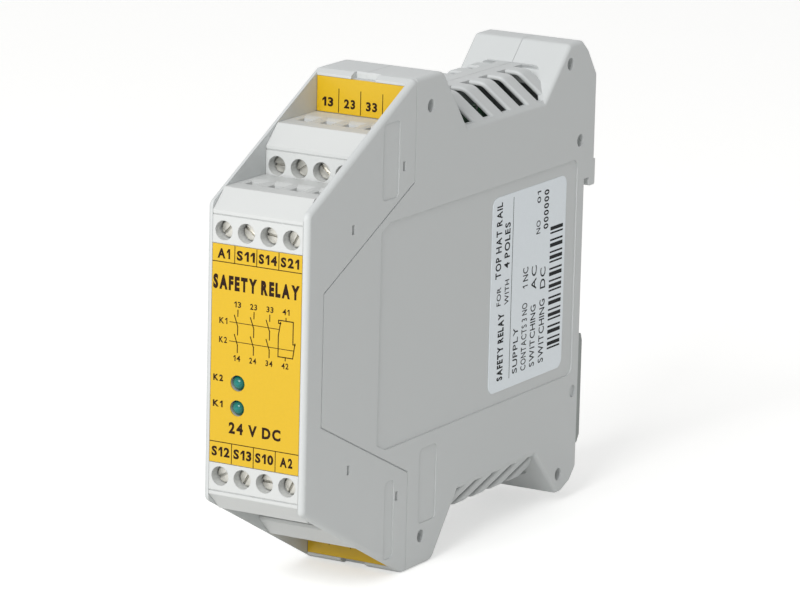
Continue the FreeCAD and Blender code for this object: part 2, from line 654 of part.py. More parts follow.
def front_hood():
    """Hood: two side walls, the front panel and the walls behind the terminals."""
    side = hood_side()
    panel = box(-INNER, INNER, LABEL_THICK, LABEL_THICK + PANEL_THICK, -PANEL_HALF, PANEL_HALF)
    holes = [rod(V(x, -1, z), V(0, 1, 0), LED_LENS / 2 + LED_CLEAR, 5) for x, z in LED_PLACES.values()]
    panel = panel.cut(Part.makeCompound(holes))
    wall_low = FRONT_SCREW + REAR_RISE - BLOCK_BELOW
    strip_wall = box(-INNER, INNER, HOOD_BACK - STRIP_WALL, HOOD_BACK, wall_low, HALF_HEIGHT)
    band = box(-INNER, INNER, BAND_FRONT, HOOD_BACK, STRIP_TOP + FIT, HALF_HEIGHT)
    left, right, height, depth = BAND_NOTCH
    notch = box(left, right, BAND_FRONT - 1, BAND_FRONT + depth, HALF_HEIGHT - height, HALF_HEIGHT + 1)
    roof = strip_wall.fuse(band).common(side_prism(hood_corners(), -INNER, INNER)).cut(notch)
    parts = [side, mirrored(side, V(1, 0, 0)), panel] + above_and_below(roof)
    return bevel_seam(fuse(parts))


def bevel_seam(hood):
    """Small bevel along the hood's edge where the shells' tongue meets it."""
    front = V(0, SEAM_FRONT, SEAM_FRONT_HALF)
    back = V(0, HOOD_BACK, SEAM_BACK_HALF)
    along = (back - front).normalize()
    edges = []
    for edge in hood.Edges:
        middle = edge.valueAt((edge.FirstParameter + edge.LastParameter) / 2)
        if abs(abs(middle.x) - HALF_WIDTH) > 0.01 or edge.Length < 5:
            continue
        place = V(0, middle.y, abs(middle.z)) - front
        off_slope = place.cross(along).Length
        if off_slope < 0.01 or (abs(middle.y - SEAM_FRONT) < 0.01 and abs(middle.z) < 1):
            edges.append(edge)
    return hood.makeChamfer(SEAM_BEVEL, edges)


# ---- terminal blocks ----
def pole_x(pole):
    """Middle of a pole across the width."""
    return (pole - (POLES - 1) / 2) * PITCH


def block_body(row):
    """Body of an upper terminal block, before its chambers."""
    face, screws = block_place(row)
    low = screws - BLOCK_BELOW
    step_back = LABEL_THICK + PANEL_THICK + FIT if row == "front" else 0
    step_up = PANEL_HALF + FIT if row == "front" else low
    back = face + BLOCK_DEPTH
    top = screws + BLOCK_TOP
    corners = [(face, step_up), (face, screws + BLOCK_BAND), (face + BLOCK_SLOPE, top, BLOCK_ROUND),
               (back, top, BLOCK_ROUND), (back, low)]
    if row == "front":
        corners += [(face + step_back, low), (face + step_back, step_up)]
    return side_prism(corners, -BLOCK_HALF, BLOCK_HALF)


def funnel(x, centre, top):
    """Tapered mouth of a wire hole."""
    def rectangle(size, z):
        half_x, half_y = size[0] / 2, size[1] / 2
        points = [V(x - half_x, centre - half_y, z), V(x + half_x, centre - half_y, z),
                  V(x + half_x, centre + half_y, z), V(x - half_x, centre + half_y, z)]
        return Part.makePolygon(points + points[:1])
    return Part.makeLoft([rectangle(WIRE_HOLE, top - FUNNEL_DEPTH), rectangle(FUNNEL, top)], True, True)


def pole_cuts(row, pole):
    """Everything that one pole takes out of its block."""
    face, screws = block_place(row)
    x = pole_x(pole)
    back = V(0, 1, 0)
    top = screws + BLOCK_TOP
    wire = face + WIRE_CENTRE
    width, depth = WIRE_HOLE
    half = CHAMBER_WIDTH / 2
    return [
        rod(V(x, face - 1, screws), back, HEAD_HOLE / 2, SHOULDER_FACE + 1),
        rod(V(x, face, screws), back, SHANK / 2 + 0.15, CHAMBER_FRONT + 1),
        box(x - half, x + half, face + CHAMBER_FRONT, face + CHAMBER_BACK,
            screws - BLOCK_BELOW - 1, screws + CHAMBER_UP),
        box(x - width / 2, x + width / 2, wire - depth / 2, wire + depth / 2,
            screws + CHAMBER_UP - 0.5, top),
        funnel(x, wire, top),
    ]


def terminal_block(level, row):
    """Terminal block with its chambers, ridge groove and side nubs, standing on the upper half."""
    face, screws = block_place(row)
    body = block_body(row)
    cuts = [cut for pole in range(POLES) for cut in pole_cuts(row, pole)]
    ridge = screws + BLOCK_RIDGE
    cuts.append(box(-HALF_WIDTH, HALF_WIDTH, face - 1, face + RIDGE_GROOVE,
                    ridge - RIDGE_GROOVE / 2, ridge + RIDGE_GROOVE / 2))
    body = cut_each(body, cuts)
    nub = nub_box(level, row, 0, BLOCK_HALF - 0.2, BLOCK_HALF + NUB[2])
    return fuse([body, nub, mirrored(nub, V(1, 0, 0))])


def cut_each(body, tools):
    """Body less each tool in turn."""
    for tool in tools:
        body = body.cut(tool)
    return body


def terminal_screw(row, pole, turn):
    """Slotted screw of one upper pole, its driver slot turned by some degrees."""
    face, screws = block_place(row)
    x = pole_x(pole)
    start = face + HEAD_SUNK
    back = V(0, 1, 0)
    head = rod(V(x, start, screws), back, HEAD / 2, HEAD_THICK)
    head = head.makeFillet(0.25, [e for e in head.Edges
                                  if abs(e.CenterOfMass.y - start) < 0.01 and e.Length > 5])
    shank_start = start + HEAD_THICK / 2
    shank = rod(V(x, shank_start, screws), back, SHANK / 2, face + BAR_FACE - FIT - shank_start)
    width, depth = DRIVER_SLOT
    slot = box(x - HEAD, x + HEAD, start - 1, start + depth, screws - width / 2, screws + width / 2)
    slot.rotate(V(x, start, screws), back, -turn)
    return head.fuse(shank).cut(slot).removeSplitter()


def clamp_cage(row, pole):
    """Lift cage of one upper pole, fully open, with its threaded front wall."""
    face, screws = block_place(row)
    x = pole_x(pole)
    half = CHAMBER_WIDTH / 2 - SLIP
    front = face + CAGE_FRONT
    back = face + CAGE_INNER_BACK + CAGE_BACK
    ring = box(x - half, x + half, front, back, screws - CAGE_HEIGHT / 2, screws + CAGE_HEIGHT / 2)
    upright = [e for e in ring.Edges if abs(e.tangentAt(e.FirstParameter).z) > 0.9]
    ring = ring.makeFillet(CAGE_ROUND, upright)
    hole = box(x - half + CAGE_SIDE, x + half - CAGE_SIDE, front + CAGE_NUT, back - CAGE_BACK,
               screws - CAGE_HEIGHT, screws + CAGE_HEIGHT)
    thread = rod(V(x, front - 1, screws), V(0, 1, 0), SHANK / 2 + THREAD_CLEAR, CAGE_NUT + 2)
    return ring.cut(hole).cut(thread)


def contact_bars(row):
    """Contact bars of one upper block, each bent across to the circuit board."""
    face, screws = block_place(row)
    front = face + BAR_FACE
    back = front + BAR[1]
    bars = []
    for pole in range(POLES):
        x = pole_x(pole)
        blade_low = screws - BLOCK_BELOW
        blade = box(x - BAR[0] / 2, x + BAR[0] / 2, front, back, blade_low, screws + CHAMBER_UP - FIT)
        leg_low = blade_low - TAIL_FIRST - pole * TAIL_STEP
        tail = box(x + TAIL_SHIFT, x + TAIL_SHIFT + TAIL, front, back, leg_low, blade_low + 0.1)
        leg = box(BOARD_FACE, x + TAIL_SHIFT + TAIL, front, back, leg_low, leg_low + TAIL)
        bars.append(fuse([blade, tail, leg]))
    return Part.makeCompound(bars)


# ---- electronics ----
def circuit_board():
    """Main board that stands along the left-hand wall."""
    front, half = BOARD_STEPS[0]
    upper = [(front, half)]
    for (_, lower_half), (step, next_half) in zip(BOARD_STEPS, BOARD_STEPS[1:]):
        upper += [(step, lower_half), (step, next_half)]
    upper.append((BOARD_BACK, BOARD_STEPS[-1][1]))
    lower = [(y, -z) for y, z in reversed(upper)]
    return side_prism(upper + lower, BOARD_FACE - BOARD_THICK, BOARD_FACE)


def sealed_relay(side):
    """Sealed relay with guided contacts, above (1) or below (-1) the middle of the board."""
    thick, length, height = RELAY_SIZE
    front = HOOD_BACK + RELAY_START
    low = RELAY_GAP / 2
    case = box(BOARD_FACE, BOARD_FACE + thick, front, front + length, low, low + height)
    top = BOARD_FACE + thick
    rim = [e for e in case.Edges if abs(e.CenterOfMass.x - top) < 0.01]
    case = case.makeFillet(CASE_ROUND, rim)
    return case if side > 0 else mirrored(case, V(0, 0, 1))


def indicator_led(x, z):
    """Round light with its flange and two leads bent to the board."""
    radius = LED_LENS / 2
    dome_centre = radius - LED_STAND
    end = LED_LENGTH - LED_STAND
    along = V(0, 1, 0)
    dome = Part.makeSphere(radius, V(x, dome_centre, z))
    lens = rod(V(x, dome_centre, z), along, radius, end - dome_centre)
    flange = rod(V(x, end - LED_FLANGE[1], z), along, LED_FLANGE[0] / 2, LED_FLANGE[1])
    thick, half_space, run = LED_LEAD
    leads = []
    for side in (1, -1):
        low = z + side * half_space - thick / 2
        leads.append(box(x - thick / 2, x + thick / 2, end - 0.1, end + run, low, low + thick))
        leads.append(box(BOARD_FACE, x + thick / 2, end + run - thick, end + run, low, low + thick))
    return fuse([dome, lens, flange] + leads)


def capacitor():
    """Reservoir capacitor that stands on the board."""
    diameter, length = CAPACITOR
    y, z = CAPACITOR_PLACE
    can = rod(V(BOARD_FACE, y, z), V(1, 0, 0), diameter / 2, length)
    top = BOARD_FACE + length
    return can.makeFillet(CASE_ROUND, [e for e in can.Edges if abs(e.CenterOfMass.x - top) < 0.01])


def disc_fuse():
    """Self-resetting disc fuse with two leads in the board."""
    diameter, thick, rise = FUSE
    y, z = FUSE_PLACE
    x = BOARD_FACE + rise
    disc = rod(V(x, y - thick / 2, z), V(0, 1, 0), diameter / 2, thick)
    disc = disc.makeFillet(CASE_ROUND, [e for e in disc.Edges if e.Length > diameter])
    lead, spacing = FUSE_LEAD
    leads = [box(BOARD_FACE, x, y - lead / 2, y + lead / 2, z + side * spacing - lead / 2,
                 z + side * spacing + lead / 2) for side in (1, -1)]
    return fuse([disc] + leads)


def rectifier():
    """Bridge rectifier that lies flat on the board."""
    thick, length, height = RECTIFIER
    y, z = RECTIFIER_PLACE
    body = box(BOARD_FACE, BOARD_FACE + thick, y, y + length, z, z + height)
    top = BOARD_FACE + thick
    return body.makeFillet(CASE_ROUND / 2, [e for e in body.Edges if abs(e.CenterOfMass.x - top) < 0.01])


# ---- printed pieces ----
def front_label():
    """Label on the front panel, with holes for the lights."""
    half = INNER - PRINT_EDGE
    top = PANEL_HALF - PRINT_EDGE
    sheet = box(-half, half, 0, LABEL_THICK, -top, top)
    holes = [rod(V(x, -1, z), V(0, 1, 0), LED_LENS / 2 + LED_CLEAR, 5) for x, z in LED_PLACES.values()]
    return sheet.cut(Part.makeCompound(holes))


def marking_strip():
    """Marking strip behind the upper terminals."""
    half = INNER - PRINT_EDGE
    return box(-half, half, BAND_FRONT, BAND_FRONT + STRIP_THICK, STRIP_LOW, STRIP_TOP)


def side_sticker():
    """Rating sticker in the right-hand recess."""
    back = RECESS_BACK - STICKER_INSET[0]
    front = back - STICKER_LENGTH
    half = RECESS_HALF - STICKER_INSET[1]
    corners = [(front, -half, STICKER_ROUND), (front, half, STICKER_ROUND),
               (back, half, STICKER_ROUND), (back, -half, STICKER_ROUND)]
    seat = HALF_WIDTH - PANEL_RECESS
    return side_prism(corners, seat, seat + STICKER_THICK)


# ---- foot latch ----
def foot_latch():
    """Sprung latch that grips the rail's lower edge, with its key and driver window."""
    half = HALF_WIDTH - CHEEK - SLIP
    lip_front = SEAT_DEPTH + HOOK_GAP
    lip_back = lip_front + LATCH_LIP
    front_top = LATCH_CEILING - SLIP
    slot_floor = RAIL_FOOT - 0.3
    nose_low = -EAR_HALF + LATCH_NOSE_RISE
    tail_back = LATCH_FACE + LATCH_TAIL[0]
    tail_low = -EAR_HALF + LATCH_TAIL[1]
    corners = [
        (LATCH_FACE, front_top), (SEAT_DEPTH - SLIP, front_top), (SEAT_DEPTH - SLIP, slot_floor),
        (lip_front, slot_floor), (lip_front, LIP_TOP - 0.4), (lip_front + 0.4, LIP_TOP),
        (lip_back - 0.6, LIP_TOP), (lip_back, LIP_TOP - LATCH_LIP, 0.3), (lip_back, nose_low + 1.6, 0.5),
        (lip_back - 1, nose_low), (tail_back, nose_low - 0.6), (tail_back, tail_low),
        (LATCH_FACE, tail_low),
    ]
    body = side_prism(corners, -half, half)
    width, height, rise = LATCH_WINDOW
    window_low = tail_low + rise
    window = box(-width / 2, width / 2, LATCH_FACE - 1, tail_back + 1, window_low, window_low + height)
    neck = box(-KEY_NECK / 2, KEY_NECK / 2, KEY_BACK - 0.1, LATCH_FACE + 0.1, KEY_LOW, KEY_TOP)
    flange_front = SPRING_BACK - SPRING_MEAN / 2 - SPRING_WIRE
    flange = box(-KEY_FLANGE / 2, KEY_FLANGE / 2, flange_front, KEY_BACK, KEY_LOW, KEY_TOP)
    return fuse([body.cut(window), neck, flange])


def latch_spring():
    """Compression spring under the latch's key."""
    rise = SPRING_LENGTH - SPRING_WIRE - 2 * SPRING_CLEAR
    helix = Part.makeHelix(rise / SPRING_TURNS, rise, SPRING_MEAN / 2)
    section = Part.Wire(Part.makeCircle(SPRING_WIRE / 2, V(SPRING_MEAN / 2, 0, 0), V(0, 1, 0)))
    coil = Part.Wire(helix).makePipeShell([section], True, True)
    coil.translate(V(0, SPRING_BACK, SPRING_SEAT + SPRING_WIRE / 2 + SPRING_CLEAR))
    return coil


# ---- all pieces ----
def build():
    """Every piece of the relay by name, in the working place."""
    left_shell = mirrored(shell(with_pins=True), V(1, 0, 0))
    pieces = {
        "shell_right": shell(with_pins=False),
        "shell_left": fuse([left_shell] + board_pads()),
        "front_hood": front_hood(),
        "circuit_board": circuit_board(),
        "relay_k1": sealed_relay(1),
        "relay_k2": sealed_relay(-1),
        "capacitor": capacitor(),
        "disc_fuse": disc_fuse(),
        "rectifier": rectifier(),
        "front_label": front_label(),
        "side_sticker": side_sticker(),
        "foot_latch": foot_latch(),
        "latch_spring": latch_spring(),
    }
    for name, (x, z) in LED_PLACES.items():
        pieces[name] = indicator_led(x, z)
    for level in ("upper", "lower"):
        turned_over = level == "lower"
        strip = marking_strip()
        pieces["marking_strip_" + level] = mirrored(strip, V(0, 0, 1)) if turned_over else strip
        for row in ("front", "rear"):
            pieces.update(terminal_pieces(level, row))
    return pieces


def terminal_pieces(level, row):
    """Block, contact bars, screws and cages of one row of terminals."""
    key = level + "_" + row
    pieces = {
        "terminal_block_" + key: terminal_block(level, row),
        "contact_bars_" + key: contact_bars(row),
    }
    for pole, name in enumerate(TERMINALS[key]):
        turn = SLOT_TURNS[key][pole]
        pieces["screw_" + name] = terminal_screw(row, pole, -turn if level == "lower" else turn)
        pieces["cage_" + name] = clamp_cage(row, pole)
    if level == "upper":
        return pieces
    return {name: mirrored(piece, V(0, 0, 1)) for name, piece in pieces.items()}


def place(shape):
    """Move a piece so that the origin is the middle of the rail seat."""
    moved = shape.copy()
    moved.translate(V(0, -SEAT_DEPTH, -RAIL_RISE))
    return moved


def main():
    """Write one STEP file for each piece."""
    os.makedirs("parts", exist_ok=True)
    for name, shape in build().items():
        piece = place(shape)
        piece.exportStep(os.path.join("parts", name + ".step"))
        box_size = piece.BoundBox
        print(f"{name:28s} solids {len(piece.Solids)} valid {piece.isValid()} volume {piece.Volume:9.1f}"
              f"  x {box_size.XMin:7.2f} {box_size.XMax:7.2f}  y {box_size.YMin:8.2f} {box_size.YMax:7.2f}"
              f"  z {box_size.ZMin:7.2f} {box_size.ZMax:7.2f}")


main()
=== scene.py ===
"""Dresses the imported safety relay: plastic, print, metal and lamps, on a pale studio floor.

Sizes in the classes are in millimetres; Blender objects are in metres, in the part's own frame,
with the front towards -Y, the rail behind and Z up.
"""
import logging
import math
from collections.abc import Iterable
from dataclasses import dataclass, field
from enum import Enum
from typing import Any

import bmesh
import bpy
from mathutils import Matrix, Vector


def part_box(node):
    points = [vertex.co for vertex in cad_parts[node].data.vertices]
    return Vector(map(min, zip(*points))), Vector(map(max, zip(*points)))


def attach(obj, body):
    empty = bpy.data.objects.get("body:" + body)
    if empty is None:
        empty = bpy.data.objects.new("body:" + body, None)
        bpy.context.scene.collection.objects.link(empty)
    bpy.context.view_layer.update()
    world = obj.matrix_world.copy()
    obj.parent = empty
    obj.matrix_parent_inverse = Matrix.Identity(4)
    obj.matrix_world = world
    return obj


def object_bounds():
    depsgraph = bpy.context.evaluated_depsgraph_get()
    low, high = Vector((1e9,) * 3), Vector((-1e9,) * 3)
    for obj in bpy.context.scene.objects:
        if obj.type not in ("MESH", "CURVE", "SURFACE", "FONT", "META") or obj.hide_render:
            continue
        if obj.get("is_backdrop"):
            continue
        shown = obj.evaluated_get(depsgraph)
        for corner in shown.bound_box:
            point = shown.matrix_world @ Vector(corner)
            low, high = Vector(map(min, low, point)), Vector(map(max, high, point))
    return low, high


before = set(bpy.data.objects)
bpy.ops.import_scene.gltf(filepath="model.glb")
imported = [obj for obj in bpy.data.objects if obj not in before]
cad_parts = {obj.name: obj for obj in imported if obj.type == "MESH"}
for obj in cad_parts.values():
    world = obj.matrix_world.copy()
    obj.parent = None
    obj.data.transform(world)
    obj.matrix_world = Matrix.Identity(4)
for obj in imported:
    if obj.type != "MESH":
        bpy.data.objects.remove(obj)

LOG = logging.getLogger("relay")
MM = 0.001
INK_THICKNESS = 0.02       # mm that print stands proud of its sheet
HOUSING = "housing"


class Level(Enum):
    """Upper or lower half of the relay; the value is the sign of its height."""

    UPPER = 1
    LOWER = -1

    @property
    def word(self) -> str:
        """Name of the half as the nodes spell it."""
        return self.name.lower()


class Row(Enum):
    """Row of terminals on one half of the relay."""

    FRONT = "front"
    REAR = "rear"


TERMINALS: dict[tuple[Level, Row], tuple[str, ...]] = {
    (Level.UPPER, Row.FRONT): ("A1", "S11", "S14", "S21"),
    (Level.UPPER, Row.REAR): ("13", "23", "33", "41"),
    (Level.LOWER, Row.FRONT): ("S12", "S13", "S10", "A2"),
    (Level.LOWER, Row.REAR): ("14", "24", "34", "42"),
}


# ---- helpers ----
def linear(hex_colour: str) -> tuple[float, float, float, float]:
    """Turns an sRGB hex colour into the linear colour that a shader reads.

    Args:
        hex_colour: six hex digits, with or without a leading #.

    Returns:
        Linear red, green, blue and an alpha of 1.
    """
    digits = hex_colour.lstrip("#")
    channels = [int(digits[i:i + 2], 16) / 255 for i in (0, 2, 4)]
    red, green, blue = (
        c / 12.92 if c <= 0.04045 else ((c + 0.055) / 1.055) ** 2.4 for c in channels
    )
    return red, green, blue, 1.0


def per_metre(size_mm: float) -> float:
    """Texture scale at which one cell of a pattern measures size_mm."""
    return 1 / (size_mm * MM)


def add_node(tree: bpy.types.NodeTree, kind: str, inputs: dict[str | int, Any] | None = None,
             **settings: Any) -> bpy.types.Node:
    """Adds one shader node with its settings, constant inputs and links.

    Args:
        tree: node tree that gets the node.
        kind: Blender's type name of the node.
        inputs: what goes into each named or numbered input: a constant, or a socket to link.
        settings: properties set on the node itself.

    Returns:
        The new node.
    """
    node = tree.nodes.new(kind)
    for name, value in settings.items():
        setattr(node, name, value)
    for key, value in (inputs or {}).items():
        if isinstance(value, bpy.types.NodeSocket):
            tree.links.new(value, node.inputs[key])
        else:
            node.inputs[key].default_value = value
    return node


def seen_directly(tree: bpy.types.NodeTree) -> bpy.types.NodeSocket:
    """Socket that is 1 for what is seen, also in a reflection or through a lens, and else 0.

    Args:
        tree: the tree of a material or of the sky.

    Returns:
        The socket.
    """
    rays = add_node(tree, "ShaderNodeLightPath").outputs
    seen = add_node(tree, "ShaderNodeMath",
                    {0: rays["Is Camera Ray"], 1: rays["Is Glossy Ray"]}, operation="ADD")
    return add_node(tree, "ShaderNodeMath",
                    {0: seen.outputs["Value"], 1: rays["Is Transmission Ray"]},
                    operation="ADD", use_clamp=True).outputs["Value"]


def wear(node: bpy.types.Object, material: bpy.types.Material) -> None:
    """Gives a CAD node's object one finish in every material slot.

    Args:
        material: the finish.
    """
    if not node.material_slots:
        node.data.materials.append(material)
    for slot in node.material_slots:
        slot.material = material


# ---- finishes ----
@dataclass(frozen=True)
class Finish:
    """One finish of the relay: a base colour and roughness that a subclass dresses.

    Attributes:
        name: name of the material, after the real one.
        colour: base colour in sRGB hex.
        roughness: roughness of the shader.
        metallic: 1 for bare metal, 0 for everything else.
    """

    name: str
    colour: str
    roughness: float = 0.5
    metallic: float = 0.0

    def build(self) -> bpy.types.Material:
        """Makes the material.

        Returns:
            The material, with its nodes wired.
        """
        material = bpy.data.materials.new(self.name)
        material.use_nodes = True
        tree = material.node_tree
        tree.nodes.clear()
        shader = add_node(tree, "ShaderNodeBsdfPrincipled", {
            "Base Color": linear(self.colour), "Roughness": self.roughness,
            "Metallic": self.metallic,
        })
        add_node(tree, "ShaderNodeOutputMaterial", {"Surface": shader.outputs["BSDF"]})
        self.dress(tree, shader)
        return material

    def dress(self, tree: bpy.types.NodeTree, shader: bpy.types.Node) -> None:
        """Adds the pattern of this finish; the plain finish has none."""

    def shade(self, tree: bpy.types.NodeTree, pattern: bpy.types.NodeSocket,
              depth: float) -> bpy.types.NodeSocket:
        """Varies the brightness of the base colour with a pattern.

        Args:
            tree: the material's tree.
            pattern: values round 0.5.
            depth: share by which the brightness rises or falls at most.

        Returns:
            The varied colour.
        """
        value = add_node(tree, "ShaderNodeMapRange", {
            "Value": pattern, "From Min": 0.25, "From Max": 0.75,
            "To Min": 1 - depth, "To Max": 1 + depth,
        })
        varied = add_node(tree, "ShaderNodeHueSaturation", {
            "Color": linear(self.colour), "Value": value.outputs["Result"],
        })
        return varied.outputs["Color"]


@dataclass(frozen=True)
class MouldedPolyamide(Finish):
    """Injection-moulded polyamide with a fine spark-eroded skin.

    The eye gets a soft sheen broken by a grain, faint flow clouds, and moulded corners that
    catch the light.

    Attributes:
        grain: size of the eroded pits, in mm.
        pit_depth: depth of the pits, in mm.
        corner: radius at which sharp corners catch the light, in mm.
    """

    grain: float = 0.3
    pit_depth: float = 0.012
    corner: float = 0.18

    def dress(self, tree: bpy.types.NodeTree, shader: bpy.types.Node) -> None:
        """Adds clouds, grain and softened corners.

        Args:
            tree: the material's tree.
            shader: its Principled BSDF.
        """
        place = add_node(tree, "ShaderNodeTexCoord").outputs["Object"]
        clouds = add_node(tree, "ShaderNodeTexNoise", {
            "Vector": place, "Scale": per_metre(18), "Detail": 3.0, "Roughness": 0.6,
        })
        pits = add_node(tree, "ShaderNodeTexNoise", {
            "Vector": place, "Scale": per_metre(self.grain), "Detail": 2.0, "Roughness": 0.7,
        })
        sheen = add_node(tree, "ShaderNodeMapRange", {
            "Value": clouds.outputs["Fac"], "From Min": 0.3, "From Max": 0.7,
            "To Min": self.roughness - 0.05, "To Max": self.roughness + 0.05,
        })
        corners = add_node(tree, "ShaderNodeBevel", {"Radius": self.corner * MM}, samples=4)
        skin = add_node(tree, "ShaderNodeBump", {
            "Strength": 0.6, "Distance": self.pit_depth * MM,
            "Height": pits.outputs["Fac"], "Normal": corners.outputs["Normal"],
        })
        colour = self.shade(tree, clouds.outputs["Fac"], 0.012)
        tree.links.new(colour, shader.inputs["Base Color"])
        tree.links.new(sheen.outputs["Result"], shader.inputs["Roughness"])
        tree.links.new(skin.outputs["Normal"], shader.inputs["Normal"])


@dataclass(frozen=True)
class PrintedFilm(Finish):
    """Polyester label film with an even printed field under a satin varnish.

    The eye gets a flat strong colour, a slight lacquer gloss and the faint waviness of film
    on its glue.

    Attributes:
        wave: width of the waviness, in mm.
        wave_depth: height of the waviness, in mm.
    """

    wave: float = 3.0
    wave_depth: float = 0.01

    def dress(self, tree: bpy.types.NodeTree, shader: bpy.types.Node) -> None:
        """Adds the varnish, the waviness and a little unevenness of the ink.

        Args:
            tree: the material's tree.
            shader: its Principled BSDF.
        """
        place = add_node(tree, "ShaderNodeTexCoord").outputs["Object"]
        glue = add_node(tree, "ShaderNodeTexNoise", {
            "Vector": place, "Scale": per_metre(self.wave), "Detail": 1.0,
        })
        ink = add_node(tree, "ShaderNodeTexNoise", {
            "Vector": place, "Scale": per_metre(0.6), "Detail": 3.0,
        })
        sag = add_node(tree, "ShaderNodeBump", {
            "Strength": 0.5, "Distance": self.wave_depth * MM, "Height": glue.outputs["Fac"],
        })
        tree.links.new(self.shade(tree, ink.outputs["Fac"], 0.015), shader.inputs["Base Color"])
        tree.links.new(sag.outputs["Normal"], shader.inputs["Normal"])
        shader.inputs["Coat Weight"].default_value = 0.25
        shader.inputs["Coat Roughness"].default_value = 0.25


@dataclass(frozen=True)
class ScreenInk(Finish):
    """Screen-printed ink: dense, nearly matt, with a slightly open edge-to-edge texture."""

    def dress(self, tree: bpy.types.NodeTree, shader: bpy.types.Node) -> None:
        """Adds the texture of the screen.

        Args:
            tree: the material's tree.
            shader: its Principled BSDF.
        """
        place = add_node(tree, "ShaderNodeTexCoord").outputs["Object"]
        mesh_marks = add_node(tree, "ShaderNodeTexNoise", {
            "Vector": place, "Scale": per_metre(0.25), "Detail": 2.0,
        })
        tree.links.new(self.shade(tree, mesh_marks.outputs["Fac"], 0.25),
                       shader.inputs["Base Color"])
        shader.inputs["Specular IOR Level"].default_value = 0.15


@dataclass(frozen=True)
class TurnedNickel(Finish):
    """Nickel-plated steel screw: warm grey metal with the lathe's rings round each head.

    Attributes:
        pitch: distance between two screws, in mm.
        height: height of the row's screws in the part's frame, in mm.
        ring: width of one turning mark, in mm.
    """

    metallic: float = 1.0
    pitch: float = 5.0
    height: float = 0.0
    ring: float = 0.16

    def dress(self, tree: bpy.types.NodeTree, shader: bpy.types.Node) -> None:
        """Adds turning marks centred on each screw, and stains of handling.

        Args:
            tree: the material's tree.
            shader: its Principled BSDF.
        """
        place = add_node(tree, "ShaderNodeTexCoord").outputs["Object"]
        parts = add_node(tree, "ShaderNodeSeparateXYZ", {"Vector": place})
        across = add_node(tree, "ShaderNodeMath", {0: parts.outputs["X"], 1: self.pitch * MM},
                          operation="FLOORED_MODULO")
        from_axis = add_node(tree, "ShaderNodeMath",
                             {0: across.outputs["Value"], 1: self.pitch / 2 * MM},
                             operation="SUBTRACT")
        up = add_node(tree, "ShaderNodeMath", {0: parts.outputs["Z"], 1: self.height * MM},
                      operation="SUBTRACT")
        radial = add_node(tree, "ShaderNodeCombineXYZ",
                          {"X": from_axis.outputs["Value"], "Y": up.outputs["Value"]})
        rings = add_node(tree, "ShaderNodeTexWave",
                         {"Vector": radial.outputs["Vector"], "Scale": per_metre(self.ring) / 20,
                          "Distortion": 1.5, "Detail": 2.0},
                         wave_type="RINGS", rings_direction="Z")
        marks = add_node(tree, "ShaderNodeBump", {
            "Strength": 0.35, "Distance": 0.01 * MM, "Height": rings.outputs["Fac"],
        })
        stains = add_node(tree, "ShaderNodeTexNoise", {
            "Vector": place, "Scale": per_metre(1.4), "Detail": 3.0,
        })
        polish = add_node(tree, "ShaderNodeMapRange", {
            "Value": stains.outputs["Fac"], "From Min": 0.3, "From Max": 0.7,
            "To Min": self.roughness - 0.08, "To Max": self.roughness + 0.1,
        })
        tree.links.new(self.shade(tree, stains.outputs["Fac"], 0.08), shader.inputs["Base Color"])
        tree.links.new(polish.outputs["Result"], shader.inputs["Roughness"])
        tree.links.new(marks.outputs["Normal"], shader.inputs["Normal"])


@dataclass(frozen=True)
class StampedMetal(Finish):
    """Stamped or drawn metal under a thin plating: grained along its rolling direction.

    Attributes:
        grain: width of one rolling line, in mm.
        stretch: how much longer than wide the lines are.
    """

    metallic: float = 1.0
    grain: float = 0.12
    stretch: float = 12.0

    def dress(self, tree: bpy.types.NodeTree, shader: bpy.types.Node) -> None:
        """Adds rolling lines and cloudy plating.

        Args:
            tree: the material's tree.
            shader: its Principled BSDF.
        """
        place = add_node(tree, "ShaderNodeTexCoord").outputs["Object"]
        along = add_node(tree, "ShaderNodeMapping",
                         {"Vector": place, "Scale": (1.0, 1.0 / self.stretch, 1.0)})
        lines = add_node(tree, "ShaderNodeTexNoise", {
            "Vector": along.outputs["Vector"], "Scale": per_metre(self.grain), "Detail": 2.0,
        })
        plating = add_node(tree, "ShaderNodeTexNoise", {
            "Vector": place, "Scale": per_metre(2.5), "Detail": 3.0,
        })
        rolled = add_node(tree, "ShaderNodeBump", {
            "Strength": 0.3, "Distance": 0.006 * MM, "Height": lines.outputs["Fac"],
        })
        tree.links.new(self.shade(tree, plating.outputs["Fac"], 0.1), shader.inputs["Base Color"])
        tree.links.new(rolled.outputs["Normal"], shader.inputs["Normal"])


